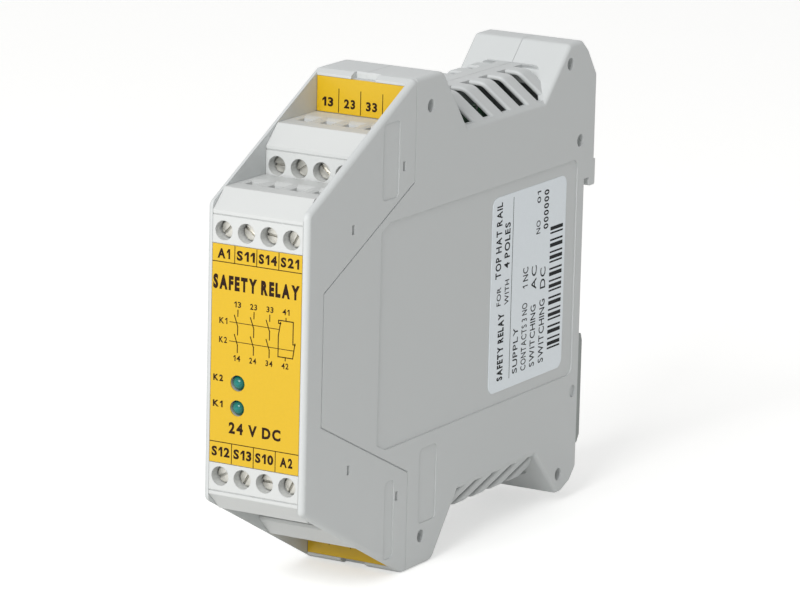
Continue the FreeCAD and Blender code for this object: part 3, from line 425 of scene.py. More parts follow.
@dataclass(frozen=True)
class TintedLens(Finish):
    """Tinted epoxy lamp body: a clear skin over a coloured body, with a painted highlight that
    makes the dome paler at its middle.

    Attributes:
        painted_highlight: colour painted at the middle of the dome as a highlight, in sRGB hex.
        centre: place of the lamp's axis in X and Z in the part's frame, in mm.
        radius: radius of the lens, in mm.
    """

    painted_highlight: str = "FFFFFF"
    centre: tuple[float, float] = (0.0, 0.0)
    radius: float = 1.5

    def dress(self, tree: bpy.types.NodeTree, shader: bpy.types.Node) -> None:
        """Adds the painted highlight, paler towards the middle of the dome, and the clear skin.

        Args:
            tree: the material's tree.
            shader: its Principled BSDF.
        """
        place = add_node(tree, "ShaderNodeTexCoord").outputs["Object"]
        parts = add_node(tree, "ShaderNodeSeparateXYZ", {"Vector": place})
        flat = add_node(tree, "ShaderNodeCombineXYZ",
                        {"X": parts.outputs["X"], "Z": parts.outputs["Z"]})
        middle = (self.centre[0] * MM, 0.0, self.centre[1] * MM)
        from_axis = add_node(tree, "ShaderNodeVectorMath",
                             {0: flat.outputs["Vector"], 1: middle}, operation="DISTANCE")
        # Painted highlight: the colour turns paler towards the lamp's axis, standing in for light
        # on the dome.
        share = add_node(tree, "ShaderNodeMapRange", {
            "Value": from_axis.outputs["Value"], "From Min": 0.1 * self.radius * MM,
            "From Max": self.radius * MM, "To Min": 1.0, "To Max": 0.0,
        })
        painted_highlight_tint = add_node(tree, "ShaderNodeMix", {
            0: share.outputs["Result"], 6: linear(self.colour), 7: linear(self.painted_highlight),
        }, data_type="RGBA")
        tree.links.new(painted_highlight_tint.outputs[2], shader.inputs["Base Color"])
        shader.inputs["Coat Weight"].default_value = 0.3
        shader.inputs["Coat Roughness"].default_value = 0.06
        shader.inputs["Subsurface Weight"].default_value = 0.25
        shader.inputs["Specular IOR Level"].default_value = 0.25
        shader.inputs["Subsurface Radius"].default_value = (0.6 * MM, 1.0 * MM, 0.8 * MM)
        shader.inputs["Subsurface Scale"].default_value = 1.0


@dataclass(frozen=True)
class SolderMask(Finish):
    """Glass-epoxy board under green solder mask: darker gaps, lighter tracks, tinned pads.

    Attributes:
        track: colour over copper tracks, in sRGB hex.
        tin: colour of the tinned pads, in sRGB hex.
        raster: spacing of the board's holes, in mm.
    """

    track: str = "3F8A55"
    tin: str = "C9CBC6"
    raster: float = 2.54

    def dress(self, tree: bpy.types.NodeTree, shader: bpy.types.Node) -> None:
        """Adds tracks on the raster, with a tinned pad here and there.

        Args:
            tree: the material's tree.
            shader: its Principled BSDF.
        """
        place = add_node(tree, "ShaderNodeTexCoord").outputs["Object"]
        upright = add_node(tree, "ShaderNodeMapping",
                           {"Vector": place, "Rotation": (0.0, math.radians(90), 0.0)})
        tracks = add_node(tree, "ShaderNodeTexBrick", {
            "Vector": upright.outputs["Vector"], "Color1": linear(self.colour),
            "Color2": linear(self.track), "Mortar": linear(self.track),
            "Scale": per_metre(4 * self.raster), "Mortar Size": 0.03, "Brick Width": 1.0,
            "Row Height": 0.25,
        })
        cells = add_node(tree, "ShaderNodeTexVoronoi",
                         {"Vector": place, "Scale": per_metre(2 * self.raster), "Randomness": 0.6})
        pads = add_node(tree, "ShaderNodeMath", {0: cells.outputs["Distance"], 1: 0.16},
                        operation="LESS_THAN")
        face = add_node(tree, "ShaderNodeMix", {
            0: pads.outputs["Value"], 6: tracks.outputs["Color"], 7: linear(self.tin),
        }, data_type="RGBA")
        relief = add_node(tree, "ShaderNodeBump", {
            "Strength": 0.5, "Distance": 0.03 * MM, "Height": tracks.outputs["Fac"],
        })
        tree.links.new(face.outputs[2], shader.inputs["Base Color"])
        tree.links.new(relief.outputs["Normal"], shader.inputs["Normal"])
        shader.inputs["Coat Weight"].default_value = 0.5
        shader.inputs["Coat Roughness"].default_value = 0.2


@dataclass(frozen=True)
class StudioFloor(Finish):
    """Matt painted board: nearly white, with the faintest roller mottle."""

    glow: float = 0.45

    def dress(self, tree: bpy.types.NodeTree, shader: bpy.types.Node) -> None:
        """Adds the roller mottle, and the glow that lifts the lit floor to white where it is seen.

        Args:
            tree: the material's tree.
            shader: its Principled BSDF.
        """
        place = add_node(tree, "ShaderNodeTexCoord").outputs["Object"]
        mottle = add_node(tree, "ShaderNodeTexNoise",
                          {"Vector": place, "Scale": per_metre(60), "Detail": 2.0})
        tree.links.new(self.shade(tree, mottle.outputs["Fac"], 0.004),
                       shader.inputs["Base Color"])
        shader.inputs["Emission Color"].default_value = (1.0, 1.0, 1.0, 1.0)
        lift = add_node(tree, "ShaderNodeMath", {0: seen_directly(tree), 1: self.glow},
                        operation="MULTIPLY")
        tree.links.new(lift.outputs["Value"], shader.inputs["Emission Strength"])


# Light grey polyamide 6.6: a matt-satin, slightly green-grey plastic.
GREY_HOUSING = MouldedPolyamide("moulded_polyamide_light_grey", "D0D3D3", 0.52)
# The same polyamide in the terminal blocks, from a finer mould: a little smoother and paler.
BLOCK_PLASTIC = MouldedPolyamide("moulded_polyamide_terminal_grey", "D2D4D3", 0.46, grain=0.22)
# Glass-filled polyamide of the latch: darker, duller, with a coarser skin.
LATCH_PLASTIC = MouldedPolyamide("glass_filled_polyamide_grey", "9EA3A1", 0.6, grain=0.45)
# Yellow polyester front label under satin varnish.
YELLOW_FILM = PrintedFilm("polyester_label_yellow", "DAB105", 0.42)
# Silver-grey polyester rating sticker: film with a thin metallised layer.
SILVER_FILM = PrintedFilm("metallised_polyester_silver", "E6EDF2", 0.4, metallic=0.1)
# Dark brown screen ink on the yellow label.
BROWN_INK = ScreenInk("screen_ink_dark_brown", "2B1B14", 0.75)
# Black thermal-transfer ink on the sticker.
BLACK_INK = ScreenInk("transfer_ink_black", "1E2022", 0.7)
# Zinc-plated steel clamp cages: bluish and cloudy.
ZINC_CAGE = StampedMetal("zinc_plated_steel", "B9BEC2", 0.36)
# Tin-plated brass contact bars: soft, slightly yellow metal.
TINNED_BRASS = StampedMetal("tin_plated_brass", "C9BE9C", 0.33, grain=0.18)
# Drawn spring steel: dark, with lines along the wire.
SPRING_STEEL = StampedMetal("drawn_spring_steel", "8E8F90", 0.3, grain=0.08)
# Green solder mask on glass epoxy.
GREEN_BOARD = SolderMask("solder_mask_green", "1F5A38", 0.4)
# Polybutylene case of the sealed relays: smooth near-black plastic.
RELAY_CASE = MouldedPolyamide("moulded_pbt_black", "25272A", 0.35, grain=0.6, pit_depth=0.006)
# Shrink sleeve of the capacitor: glossy dark blue film.
CAPACITOR_SLEEVE = PrintedFilm("pvc_shrink_sleeve_blue", "22304F", 0.25)
# Dipped epoxy of the disc fuse: thick glossy yellow lacquer.
DIPPED_EPOXY = PrintedFilm("dipped_epoxy_yellow", "D9A51E", 0.22, wave=1.2, wave_depth=0.05)
# Moulded epoxy of the rectifier: matt black.
BLACK_EPOXY = MouldedPolyamide("moulded_epoxy_black", "1E1F21", 0.55, grain=0.2)
# Painted floor of the studio.
PALE_FLOOR = StudioFloor("matt_painted_board", "EDEDEB", 0.8)


# ---- print ----
class Weight(Enum):
    """Weight of lettering; the value widens each stroke, as a share of the letter size."""

    REGULAR = 0.006
    MEDIUM = 0.022
    BOLD = 0.042
    HEAVY = 0.062


LETTER_GAP = 0.13          # between two letters, on the scale of the font
WORD_GAP = 0.3
CAP_HEIGHT = 0.69          # of the font's capitals and digits
STROKE = 0.085             # of the font's regular weight
LINE = 0.2                 # drawn lines, in mm
DIVIDER = 0.16             # rules between names, in mm
LINK_LINE = 0.13           # lines that link the contacts of one relay, in mm
TITLE_RULE = 0.15          # rule under the sticker's title, in mm


def spread(points: Iterable[Any]) -> tuple[Vector, Vector]:
    """Lowest and highest corner of a set of vertices."""
    places = [point.co for point in points]
    return Vector(map(min, *places)), Vector(map(max, *places))


def font_letter(letter: str, weight: Weight) -> bpy.types.Mesh:
    """Mesh of one letter of the built-in font, one unit of the font thick.

    Args:
        letter: the letter.
        weight: weight of its strokes.

    Returns:
        The mesh, standing on the line.
    """
    curve = bpy.data.curves.new("letter", "FONT")
    curve.body = letter
    curve.offset = weight.value
    curve.extrude = 0.5
    curve.resolution_u = 3
    holder = bpy.data.objects.new("letter", curve)
    bpy.context.scene.collection.objects.link(holder)
    graph = bpy.context.evaluated_depsgraph_get()
    made = bpy.data.meshes.new_from_object(holder.evaluated_get(graph))
    bpy.data.objects.remove(holder)
    bpy.data.curves.remove(curve)
    return made


def plain_one(weight: Weight) -> bpy.types.Mesh:
    """Mesh of a digit one with a flag, which the built-in font draws as a bare bar.

    Args:
        weight: weight of its strokes.

    Returns:
        The mesh, standing on the line.
    """
    stroke = STROKE + 2 * weight.value
    stem, top, flag = 0.17, CAP_HEIGHT + weight.value, CAP_HEIGHT * 0.76
    outline = ((stem, -weight.value), (stem + stroke, -weight.value), (stem + stroke, top),
               (stem, top), (0.0, flag), (0.0, flag - stroke), (stem, top - stroke * 1.4))
    shape = bmesh.new()
    face = shape.faces.new([shape.verts.new((x, y, -0.5)) for x, y in outline])
    raised = bmesh.ops.extrude_face_region(shape, geom=[face])
    corners_up = [item for item in raised["geom"] if isinstance(item, bmesh.types.BMVert)]
    bmesh.ops.translate(shape, verts=corners_up, vec=(0, 0, 1))
    made = bpy.data.meshes.new("letter")
    shape.to_mesh(made)
    shape.free()
    return made


@dataclass
class PrintLayer:
    """Ink on one flat face: letters and rules, each a closed shape as thin as ink.

    Places are in the sheet's own millimetres: first along the lettering, then up the letters.

    Attributes:
        name: name of the finished piece.
        surface: from the sheet's millimetres to the part's frame, with +Z out of the sheet.
        mesh: what has been printed so far.
        count: how many marks have been printed.
    """

    name: str
    surface: Matrix
    mesh: bmesh.types.BMesh = field(default_factory=bmesh.new)
    count: int = 0

    def letters(self, words: str, centre: tuple[float, float], height: float,
                width: float | None = None, weight: Weight = Weight.REGULAR) -> None:
        """Prints a line of capital letters or digits.

        Args:
            words: what to print.
            centre: middle of the line.
            height: height of the capitals.
            width: width of the whole line; the letters' own when left out.
            weight: weight of the strokes.
        """
        line = bmesh.new()
        right = 0.0
        for letter in words:
            if letter == " ":
                right += WORD_GAP
                continue
            made = plain_one(weight) if letter == "1" else font_letter(letter, weight)
            low, high = spread(made.vertices)
            made.transform(Matrix.Translation((right - low.x, 0, 0)))
            line.from_mesh(made)
            bpy.data.meshes.remove(made)
            right += high.x - low.x + LETTER_GAP
        low, high = spread(line.verts)
        size = high - low
        tall = height / size.y
        middle = (low + high) / 2
        bmesh.ops.transform(line, verts=line.verts, matrix=(
            self.surface
            @ Matrix.Translation((centre[0], centre[1], INK_THICKNESS / 2))
            @ Matrix.Diagonal((width / size.x if width else tall, tall, INK_THICKNESS / size.z, 1))
            @ Matrix.Translation((-middle.x, -middle.y, -middle.z))
        ))
        made = bpy.data.meshes.new(self.name)
        line.to_mesh(made)
        line.free()
        self.mesh.from_mesh(made)
        bpy.data.meshes.remove(made)
        self.count += 1

    def rule(self, start: tuple[float, float], end: tuple[float, float],
             thickness: float = LINE) -> None:
        """Prints a straight rule or bar.

        Args:
            start: middle of one end.
            end: middle of the other end.
            thickness: width of the rule.
        """
        along = Vector(end) - Vector(start)
        middle = (Vector(start) + Vector(end)) / 2
        bmesh.ops.create_cube(self.mesh, size=1.0, matrix=(
            self.surface
            @ Matrix.Translation((middle.x, middle.y, INK_THICKNESS / 2))
            @ Matrix.Rotation(math.atan2(along.y, along.x), 4, "Z")
            @ Matrix.Diagonal((along.length + thickness, thickness, INK_THICKNESS, 1))
        ))
        self.count += 1

    def finish(self, material: bpy.types.Material, slot: str) -> bpy.types.Object:
        """Turns what has been printed into a piece that rides on the housing.

        Args:
            material: the ink.
            slot: material slot of the printed sheet; not used.

        Returns:
            The finished piece.
        """
        bmesh.ops.remove_doubles(self.mesh, verts=self.mesh.verts, dist=0.0005 * MM)
        bmesh.ops.recalc_face_normals(self.mesh, faces=self.mesh.faces)
        data = bpy.data.meshes.new(self.name)
        self.mesh.to_mesh(data)
        self.mesh.free()
        data.materials.append(material)
        piece = bpy.data.objects.new(self.name, data)
        bpy.context.scene.collection.objects.link(piece)
        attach(piece, HOUSING)
        LOG.info("%s: %d marks, %d faces", self.name, self.count, len(data.polygons))
        return piece


def front_sheet(node: str) -> Matrix:
    """Surface matrix of a sheet that faces the front.

    Args:
        node: name of the sheet's node.

    Returns:
        From millimetres right and up from the sheet's middle to the part's frame.
    """
    low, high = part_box(node)
    middle = (low + high) / 2
    turned = Matrix.Rotation(math.radians(90), 4, "X")
    return Matrix.Translation((middle.x, low.y, middle.z)) @ turned @ Matrix.Scale(MM, 4)


def side_sheet(node: str) -> Matrix:
    """Surface matrix of a sheet on the right-hand side, printed to be read from below upwards.

    Args:
        node: name of the sheet's node.

    Returns:
        From millimetres up and forward from the sheet's middle to the part's frame.
    """
    low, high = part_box(node)
    middle = (low + high) / 2
    turned = Matrix(((0, 0, 1, 0), (0, -1, 0, 0), (1, 0, 0, 0), (0, 0, 0, 1)))
    return Matrix.Translation((high.x, middle.y, middle.z)) @ turned @ Matrix.Scale(MM, 4)


@dataclass
class FrontLabel:
    """Yellow front label: terminal names, a plain title and the diagram of the contacts.

    Attributes:
        name_spacing: distance between two terminal names.
        name_shift: how far the names lie beside the label's middle.
        name_heights: heights of the upper and the lower row of names.
        name_height: height of a name's capitals.
        name_widths: width of a name for its number of letters.
        rule_heights: heights of the rules between the names and the field.
        half_height: half the label's height.
        contact_columns: places of the three closing contacts.
        opening_columns: places of the opening contact's two branches.
        relay_heights: heights of the lines of relays K1 and K2 in the diagram.
        divider_reach: how far the rules under the names reach to each side.
        number_places: places of the contacts' numbers.
        number_heights: heights of the numbers over and under the contacts.
        number_size: cap height and width of such a number.
        closing_lines: both ends of each line of a closing contact, from its column.
        opening_rail: heights of the upper and the lower bar of the opening contact.
        relay_name_place: place of the relays' names in the diagram.
        relay_name_size: cap height and width of such a name.
        link_start: where the relays' lines start.
        link_drop: how far the lines lie under the middle of the names.
        link_past: how far they run past the last contact.
        lamp_name_size: cap height and width of a lamp's name.
        lamp_names: the lamps' names with their places.
    """

    name_spacing: float = 4.9
    name_shift: float = -0.08
    name_heights: tuple[float, float] = (19.65, -19.25)
    name_height: float = 1.95
    name_widths: dict[int, float] = field(default_factory=lambda: {2: 2.8, 3: 4.05})
    rule_heights: tuple[float, float] = (18.0, -17.35)
    half_height: float = 21.3
    contact_columns: tuple[float, ...] = (-4.07, -0.48, 3.03)
    opening_columns: tuple[float, float] = (5.0, 8.25)
    relay_heights: tuple[float, float] = (6.6, 2.85)
    divider_reach: float = 9.85
    number_places: tuple[float, ...] = (-4.16, -0.6, 3.04, 6.6)
    number_heights: tuple[float, float] = (10.1, -0.4)
    number_size: tuple[float, float] = (1.15, 1.55)
    closing_lines: tuple[tuple[tuple[float, float], tuple[float, float]], ...] = (
        ((0.0, 9.05), (0.0, 7.85)), ((-0.78, 7.95), (0.0, 5.85)), ((0.0, 5.85), (0.0, 4.2)),
        ((-0.72, 4.2), (0.0, 2.2)), ((0.0, 2.2), (0.0, 0.75)),
    )
    opening_rail: tuple[float, float] = (8.35, 1.25)
    relay_name_place: float = -7.3
    relay_name_size: tuple[float, float] = (1.2, 1.8)
    link_start: float = -5.85
    link_drop: float = 0.05
    link_past: float = 0.1
    lamp_name_size: tuple[float, float] = (1.3, 2.2)
    lamp_names: tuple[tuple[str, tuple[float, float]], ...] = (
        ("K2", (-8.25, -4.7)), ("K1", (-8.25, -9.8)),
    )

    def dress(self) -> None:
        """Finishes the label's film and prints on it."""
        wear(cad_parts["front_label"], YELLOW_FILM.build())
        ink = PrintLayer("front_label_print", front_sheet("front_label"))
        self.print_names(ink)
        ink.letters("SAFETY RELAY", (-0.1, 14.1), 2.9, 19.2, Weight.HEAVY)
        ink.letters("24 V DC", (0.1, -14.2), 2.3, 11.6, Weight.BOLD)
        for name, place in self.lamp_names:
            ink.letters(name, place, *self.lamp_name_size, Weight.BOLD)
        self.print_diagram(ink)
        ink.finish(BROWN_INK.build(), "label_yellow")

    def name_place(self, pole: int) -> float:
        """Place of a pole's name across the label."""
        return (pole - 1.5) * self.name_spacing + self.name_shift

    def print_names(self, ink: PrintLayer) -> None:
        """Prints both rows of terminal names with their rules.

        Args:
            ink: the label's print.
        """
        for level, height, rule in zip(Level, self.name_heights, self.rule_heights):
            for pole, name in enumerate(TERMINALS[level, Row.FRONT]):
                ink.letters(name, (self.name_place(pole), height), self.name_height,
                            self.name_widths[len(name)], Weight.BOLD)
            ink.rule((-self.divider_reach, rule), (self.divider_reach, rule), DIVIDER)
            for pole in range(3):
                x = (self.name_place(pole) + self.name_place(pole + 1)) / 2
                ink.rule((x, rule), (x, level.value * self.half_height), DIVIDER)

    def print_diagram(self, ink: PrintLayer) -> None:
        """Prints the contacts of both relays and the lines that link them.

        Args:
            ink: the label's print.
        """
        upper = TERMINALS[Level.UPPER, Row.REAR]
        lower = TERMINALS[Level.LOWER, Row.REAR]
        over, under = self.number_heights
        for x, above, below in zip(self.number_places, upper, lower):
            ink.letters(above, (x, over), *self.number_size, Weight.MEDIUM)
            ink.letters(below, (x, under), *self.number_size, Weight.MEDIUM)
        for x in self.contact_columns:
            for (first_x, first_y), (last_x, last_y) in self.closing_lines:
                ink.rule((x + first_x, first_y), (x + last_x, last_y))
        self.print_opening_contact(ink)
        for name, height in zip(("K1", "K2"), self.relay_heights):
            ink.letters(name, (self.relay_name_place, height), *self.relay_name_size,
                        Weight.MEDIUM)
        for end, height in zip(self.opening_columns, self.relay_heights):
            line = height - self.link_drop
            ink.rule((self.link_start, line), (end + self.link_past, line), LINK_LINE)

    def print_opening_contact(self, ink: PrintLayer) -> None:
        """Prints the opening contact, one branch for each relay.

        Args:
            ink: the label's print.
        """
        left, right = self.opening_columns
        top, foot = self.opening_rail
        middle = (left + right) / 2
        hook, blade = 0.5, 0.45     # how far each reaches to the right of its branch
        ink.rule((middle, 8.9), (middle, top))
        ink.rule((left, top), (right, top))
        ink.rule((left, top), (left, 7.75))
        ink.rule((left, 7.75), (left + hook, 7.75))
        ink.rule((left + blade, 8.0), (left, 5.3))
        ink.rule((left, 5.3), (left, foot))
        ink.rule((right, top), (right, 4.0))
        ink.rule((right, 4.0), (right + hook, 4.0))
        ink.rule((right + blade, 4.2), (right, foot))
        ink.rule((left, foot), (right, foot))
        ink.rule((middle, foot), (middle, 0.65))


@dataclass
class MarkingStrips:
    """Yellow strips behind the rear terminals, with the numbers of the contacts.

    Attributes:
        spacing: distance between two numbers.
        shift: how far the print lies to the left of the strip's middle.
        cap_height: height of the digits.
        drop: how far the digits' middle lies from the strip's middle.
        digit_width: width of a number.
        divider: both ends of a divider, from the strip's middle towards the hood's edge.
    """

    spacing: float = 4.95
    shift: float = -0.05
    cap_height: float = 1.85
    drop: float = 1.45
    digit_width: float = 2.5
    divider: tuple[float, float] = (-3.3, 1.3)

    def dress(self) -> None:
        """Finishes both strips and prints their numbers and dividers."""
        film, ink = YELLOW_FILM.build(), BROWN_INK.build()
        for level in Level:
            node = "marking_strip_" + level.word
            wear(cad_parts[node], film)
            layer = PrintLayer(node + "_print", front_sheet(node))
            height = -self.drop * level.value
            for pole, number in enumerate(TERMINALS[level, Row.REAR]):
                x = (pole - 1.5) * self.spacing + self.shift
                layer.letters(number, (x, height), self.cap_height, self.digit_width,
                              Weight.BOLD)
                if pole:
                    edge = x - self.spacing / 2
                    near, far = (end * level.value for end in self.divider)
                    layer.rule((edge, near), (edge, far), DIVIDER)
            layer.finish(ink, "label_yellow")


@dataclass
class RatingSticker:
    """Silver sticker on the side: plain words on the relay's kind, and bars that encode nothing.

    Attributes:
        rows: words, their start and end along the sticker, their middle and cap height.
        bar_field: start and end along the sticker, and both edges, of the bars.
        bar_rhythm: width of each bar and of the gap after it, over and over.
        title_rule: start and end of the rule under the title, and its place.
    """

    rows: tuple[tuple[str, float, float, float, float, Weight], ...] = (
        ("SAFETY RELAY", -18.0, -4.0, 10.9, 2.4, Weight.BOLD),
        ("FOR", -2.3, 1.5, 12.1, 1.7, Weight.REGULAR),
        ("TOP HAT RAIL", 3.4, 19.0, 12.6, 2.3, Weight.MEDIUM),
        ("WITH", -2.5, 2.6, 8.8, 1.7, Weight.REGULAR),
        ("4 POLES", 5.0, 14.4, 9.1, 2.2, Weight.MEDIUM),
        ("SUPPLY", -17.7, -8.2, 4.6, 2.0, Weight.REGULAR),
        ("CONTACTS 3 NO", -17.8, -3.75, 1.05, 2.15, Weight.REGULAR),
        ("1 NC", -0.6, 3.7, 1.05, 2.15, Weight.REGULAR),
        ("SWITCHING", -17.7, -4.8, -2.55, 2.1, Weight.REGULAR),
        ("AC", -1.6, 3.4, -2.55, 2.1, Weight.REGULAR),
        ("SWITCHING", -17.6, -4.3, -6.3, 2.2, Weight.REGULAR),
        ("DC", -2.0, 2.4, -6.3, 2.2, Weight.REGULAR),
        ("NO", 9.8, 12.6, -3.8, 1.7, Weight.REGULAR),
        ("01", 16.2, 18.7, -3.8, 1.5, Weight.REGULAR),
        ("000000", 10.3, 18.5, -7.0, 2.0, Weight.MEDIUM),
    )
    bar_field: tuple[float, float, float, float] = (-15.4, 10.1, -9.0, -14.3)
    bar_rhythm: tuple[tuple[float, float], ...] = (
        (0.35, 0.4), (0.75, 0.55), (0.35, 0.85), (0.8, 0.5), (0.4, 1.1),
    )
    title_rule: tuple[float, float, float] = (-18.2, 19.2, 6.9)

    def dress(self) -> None:
        """Finishes the sticker's film and prints its rows and bars."""
        wear(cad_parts["side_sticker"], SILVER_FILM.build())
        ink = PrintLayer("side_sticker_print", side_sheet("side_sticker"))
        for words, start, end, middle, height, weight in self.rows:
            ink.letters(words, ((start + end) / 2, middle), height, end - start, weight)
        start, end, place = self.title_rule
        ink.rule((start, place), (end, place), TITLE_RULE)
        self.print_bars(ink)
        ink.finish(BLACK_INK.build(), "sticker_silver")

    def print_bars(self, ink: PrintLayer) -> None:
        """Fills the bar field with a plain repeating rhythm that encodes nothing.

        Args:
            ink: the sticker's print.
        """
        start, end, top, foot = self.bar_field
        place, step = start, 0
        while place < end:
            bar, gap = self.bar_rhythm[step % len(self.bar_rhythm)]
            middle = place + bar / 2
            ink.rule((middle, foot + bar / 2), (middle, top - bar / 2), bar)
            place += bar + gap
            step += 1


# ---- sub-assemblies ----
@dataclass
class Housing:
    """Hood, the two rear shells and the foot latch with its spring."""

    shells: tuple[str, ...] = ("front_hood", "shell_left", "shell_right")

    def dress(self) -> None:
        """Gives the mouldings their plastic and the spring its steel."""
        plastic = GREY_HOUSING.build()
        for node in self.shells:
            wear(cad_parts[node], plastic)
        wear(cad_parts["foot_latch"], LATCH_PLASTIC.build())
        wear(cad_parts["latch_spring"], SPRING_STEEL.build())
        LOG.info("housing: %d mouldings", len(self.shells) + 1)


@dataclass
class TerminalRows:
    """The four terminal blocks with their screws, clamp cages and contact bars."""

    screw_colour: str = "D2D0C9"
    screw_roughness: float = 0.34

    def dress(self) -> None:
        """Gives each row its plastic and metals."""
        plastic, zinc, bars = BLOCK_PLASTIC.build(), ZINC_CAGE.build(), TINNED_BRASS.build()
        for (level, row), names in TERMINALS.items():
            key = f"{level.word}_{row.value}"
            wear(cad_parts["terminal_block_" + key], plastic)
            wear(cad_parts["contact_bars_" + key], bars)
            low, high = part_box("screw_" + names[0].lower())
            nickel = TurnedNickel(f"nickel_plated_steel_{key}", self.screw_colour,
                                  self.screw_roughness, height=(low.z + high.z) / 2 / MM).build()
            for name in names:
                wear(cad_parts["screw_" + name.lower()], nickel)
                wear(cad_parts["cage_" + name.lower()], zinc)
        LOG.info("terminals: %d rows", len(TERMINALS))


@dataclass
class Electronics:
    """What stands behind the front panel: board, relays, small components and lamps.

    Attributes:
        lamps: nodes of the lamps.
        lamp_colour: colour of a lamp's rim, in sRGB hex.
        lamp_painted_highlight: colour painted at its middle as a highlight, in sRGB hex.
        lamp_roughness: roughness of its epoxy.
        flange_radius: radius of a lamp's flange, its widest part, in mm.
    """

    lamps: tuple[str, ...] = ("led_k1", "led_k2")
    lamp_colour: str = "035546"
    # Colour of the painted highlight at the middle of each lamp.
    lamp_painted_highlight: str = "0A8079"
    lamp_roughness: float = 0.15
    flange_radius: float = 1.9

    def dress(self) -> None:
        """Gives each component the finish of its real one."""
        finishes = {
            "circuit_board": GREEN_BOARD, "relay_k1": RELAY_CASE, "relay_k2": RELAY_CASE,
            "capacitor": CAPACITOR_SLEEVE, "disc_fuse": DIPPED_EPOXY, "rectifier": BLACK_EPOXY,
        }
        built = {finish.name: finish.build() for finish in dict.fromkeys(finishes.values())}
        for node, finish in finishes.items():
            wear(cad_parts[node], built[finish.name])
        for node in self.lamps:
            low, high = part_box(node)
            centre = (high.x / MM - self.flange_radius, (low.z + high.z) / 2 / MM)
            lens = TintedLens("tinted_epoxy_green_" + node, self.lamp_colour, self.lamp_roughness,
                              painted_highlight=self.lamp_painted_highlight, centre=centre)
            wear(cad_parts[node], lens.build())
        LOG.info("electronics: %d pieces", len(finishes) + len(self.lamps))


# ---- studio ----
@dataclass
class Lamp:
    """Soft rectangular lamp aimed at the middle of the relay.

    Attributes:
        name: name of the lamp.
        azimuth: direction it comes from, in degrees from the front towards the right.
        elevation: its height above the horizon, in degrees.
        distance: distance from the relay, in metres.
        size: edge of its square, in metres.
        power: power in watts.
    """

    name: str
    azimuth: float
    elevation: float
    distance: float
    size: float
    power: float

    def place(self, aim: Vector) -> None:
        """Puts the lamp in the scene.

        Args:
            aim: the point it shines at.
        """
        data = bpy.data.lights.new(self.name, "AREA")
        data.size = self.size
        data.energy = self.power
        lamp = bpy.data.objects.new(self.name, data)
        turned = (Matrix.Rotation(math.radians(self.azimuth), 4, "Z")
                  @ Matrix.Rotation(math.radians(90 - self.elevation), 4, "X"))
        lamp.matrix_world = (Matrix.Translation(aim) @ turned
                             @ Matrix.Translation((0, 0, self.distance)))
        bpy.context.scene.collection.objects.link(lamp)


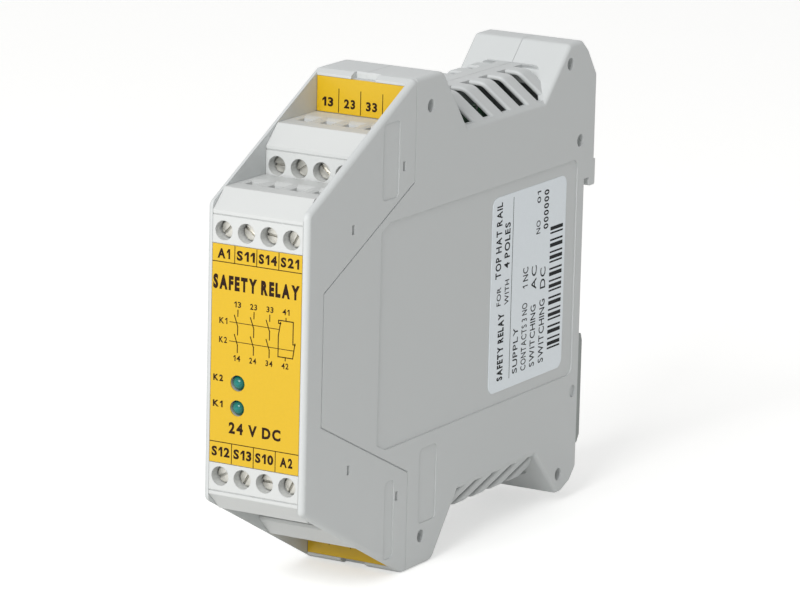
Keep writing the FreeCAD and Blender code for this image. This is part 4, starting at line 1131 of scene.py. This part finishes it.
@dataclass
class Studio:
    """Pale floor, plain soft light and the camera.

    Attributes:
        camera_azimuth: direction of the camera, in degrees from the front towards the right.
        camera_elevation: its height above the horizon, in degrees.
        camera_roll: how far it leans, in degrees.
        camera_distance: distance from the aim, in metres.
        lens: focal length, in mm.
        sensor: width of the sensor, in mm.
        aim: point that the camera looks at, in the part's millimetres.
        sky: strength of the even light from all round.
        floor_size: edge of the floor, in metres.
        floor_gap: how far the floor lies under the relay, in mm.
    """

    camera_azimuth: float = 29.857
    camera_elevation: float = 12.989
    camera_roll: float = 1.397
    camera_distance: float = 1.046
    lens: float = 236.6
    sensor: float = 36.0
    aim: tuple[float, float, float] = (-0.5, -55.0, 0.6)
    sky: float = 0.445
    floor_size: float = 6.0
    floor_gap: float = 0.02
    lamps: tuple[Lamp, ...] = (
        Lamp("key_lamp", 3.0, 30.0, 1.3, 0.6, 11.6),
    )

    def build(self) -> None:
        """Makes the floor, the light and the camera."""
        low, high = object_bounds()
        self.make_floor(low.z)
        self.make_sky()
        for lamp in self.lamps:
            lamp.place((low + high) / 2)
        self.make_camera()
        view = bpy.context.scene.view_settings
        view.view_transform = "Standard"
        LOG.info("studio: floor, %d lamps, camera", len(self.lamps))

    def make_floor(self, height: float) -> None:
        """Lays the floor just under the relay.

        Args:
            height: lowest point of the relay, in metres.
        """
        mesh = bmesh.new()
        bmesh.ops.create_grid(mesh, x_segments=4, y_segments=4, size=self.floor_size / 2)
        bmesh.ops.translate(mesh, verts=mesh.verts, vec=(0, 0, height - self.floor_gap * MM))
        data = bpy.data.meshes.new("studio_floor")
        mesh.to_mesh(data)
        mesh.free()
        data.materials.append(PALE_FLOOR.build())
        floor = bpy.data.objects.new("studio_floor", data)
        bpy.context.scene.collection.objects.link(floor)
        floor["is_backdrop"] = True

    def make_sky(self) -> None:
        """Lights the scene evenly, with a white background where the sky itself is seen."""
        world = bpy.data.worlds.new("studio_sky")
        world.use_nodes = True
        bpy.context.scene.world = world
        tree = world.node_tree
        tree.nodes.clear()
        even = add_node(tree, "ShaderNodeBackground", {"Strength": self.sky})
        white = add_node(tree, "ShaderNodeBackground",
                         {"Color": (1.0, 1.0, 1.0, 1.0), "Strength": 1.0})
        even.inputs["Color"].default_value = (1.0, 1.0, 1.0, 1.0)
        mixed = add_node(tree, "ShaderNodeMixShader", {
            0: seen_directly(tree), 1: even.outputs["Background"],
            2: white.outputs["Background"],
        })
        add_node(tree, "ShaderNodeOutputWorld", {"Surface": mixed.outputs["Shader"]})

    def make_camera(self) -> None:
        """Sets up the camera and makes it the scene's own."""
        data = bpy.data.cameras.new("camera")
        data.lens = self.lens
        data.sensor_width = self.sensor
        camera = bpy.data.objects.new("camera", data)
        turned = (Matrix.Rotation(math.radians(self.camera_azimuth), 4, "Z")
                  @ Matrix.Rotation(math.radians(90 - self.camera_elevation), 4, "X"))
        camera.matrix_world = (
            Matrix.Translation(Vector(self.aim) * MM) @ turned
            @ Matrix.Translation((0, 0, self.camera_distance))
            @ Matrix.Rotation(math.radians(self.camera_roll), 4, "Z")
        )
        bpy.context.scene.collection.objects.link(camera)
        bpy.context.scene.camera = camera


def corners(bounds: tuple[Vector, Vector]) -> list[list[float]]:
    """Both corners of a box as plain lists of numbers."""
    return [list(corner) for corner in bounds]


def main() -> None:
    """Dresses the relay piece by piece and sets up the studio."""
    logging.basicConfig(level=logging.INFO, format="%(name)s: %(message)s")
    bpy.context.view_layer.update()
    for assembly in (Housing(), TerminalRows(), Electronics(), FrontLabel(), MarkingStrips(),
                     RatingSticker()):
        assembly.dress()
    Studio().build()


if __name__ == "__main__":
    main()
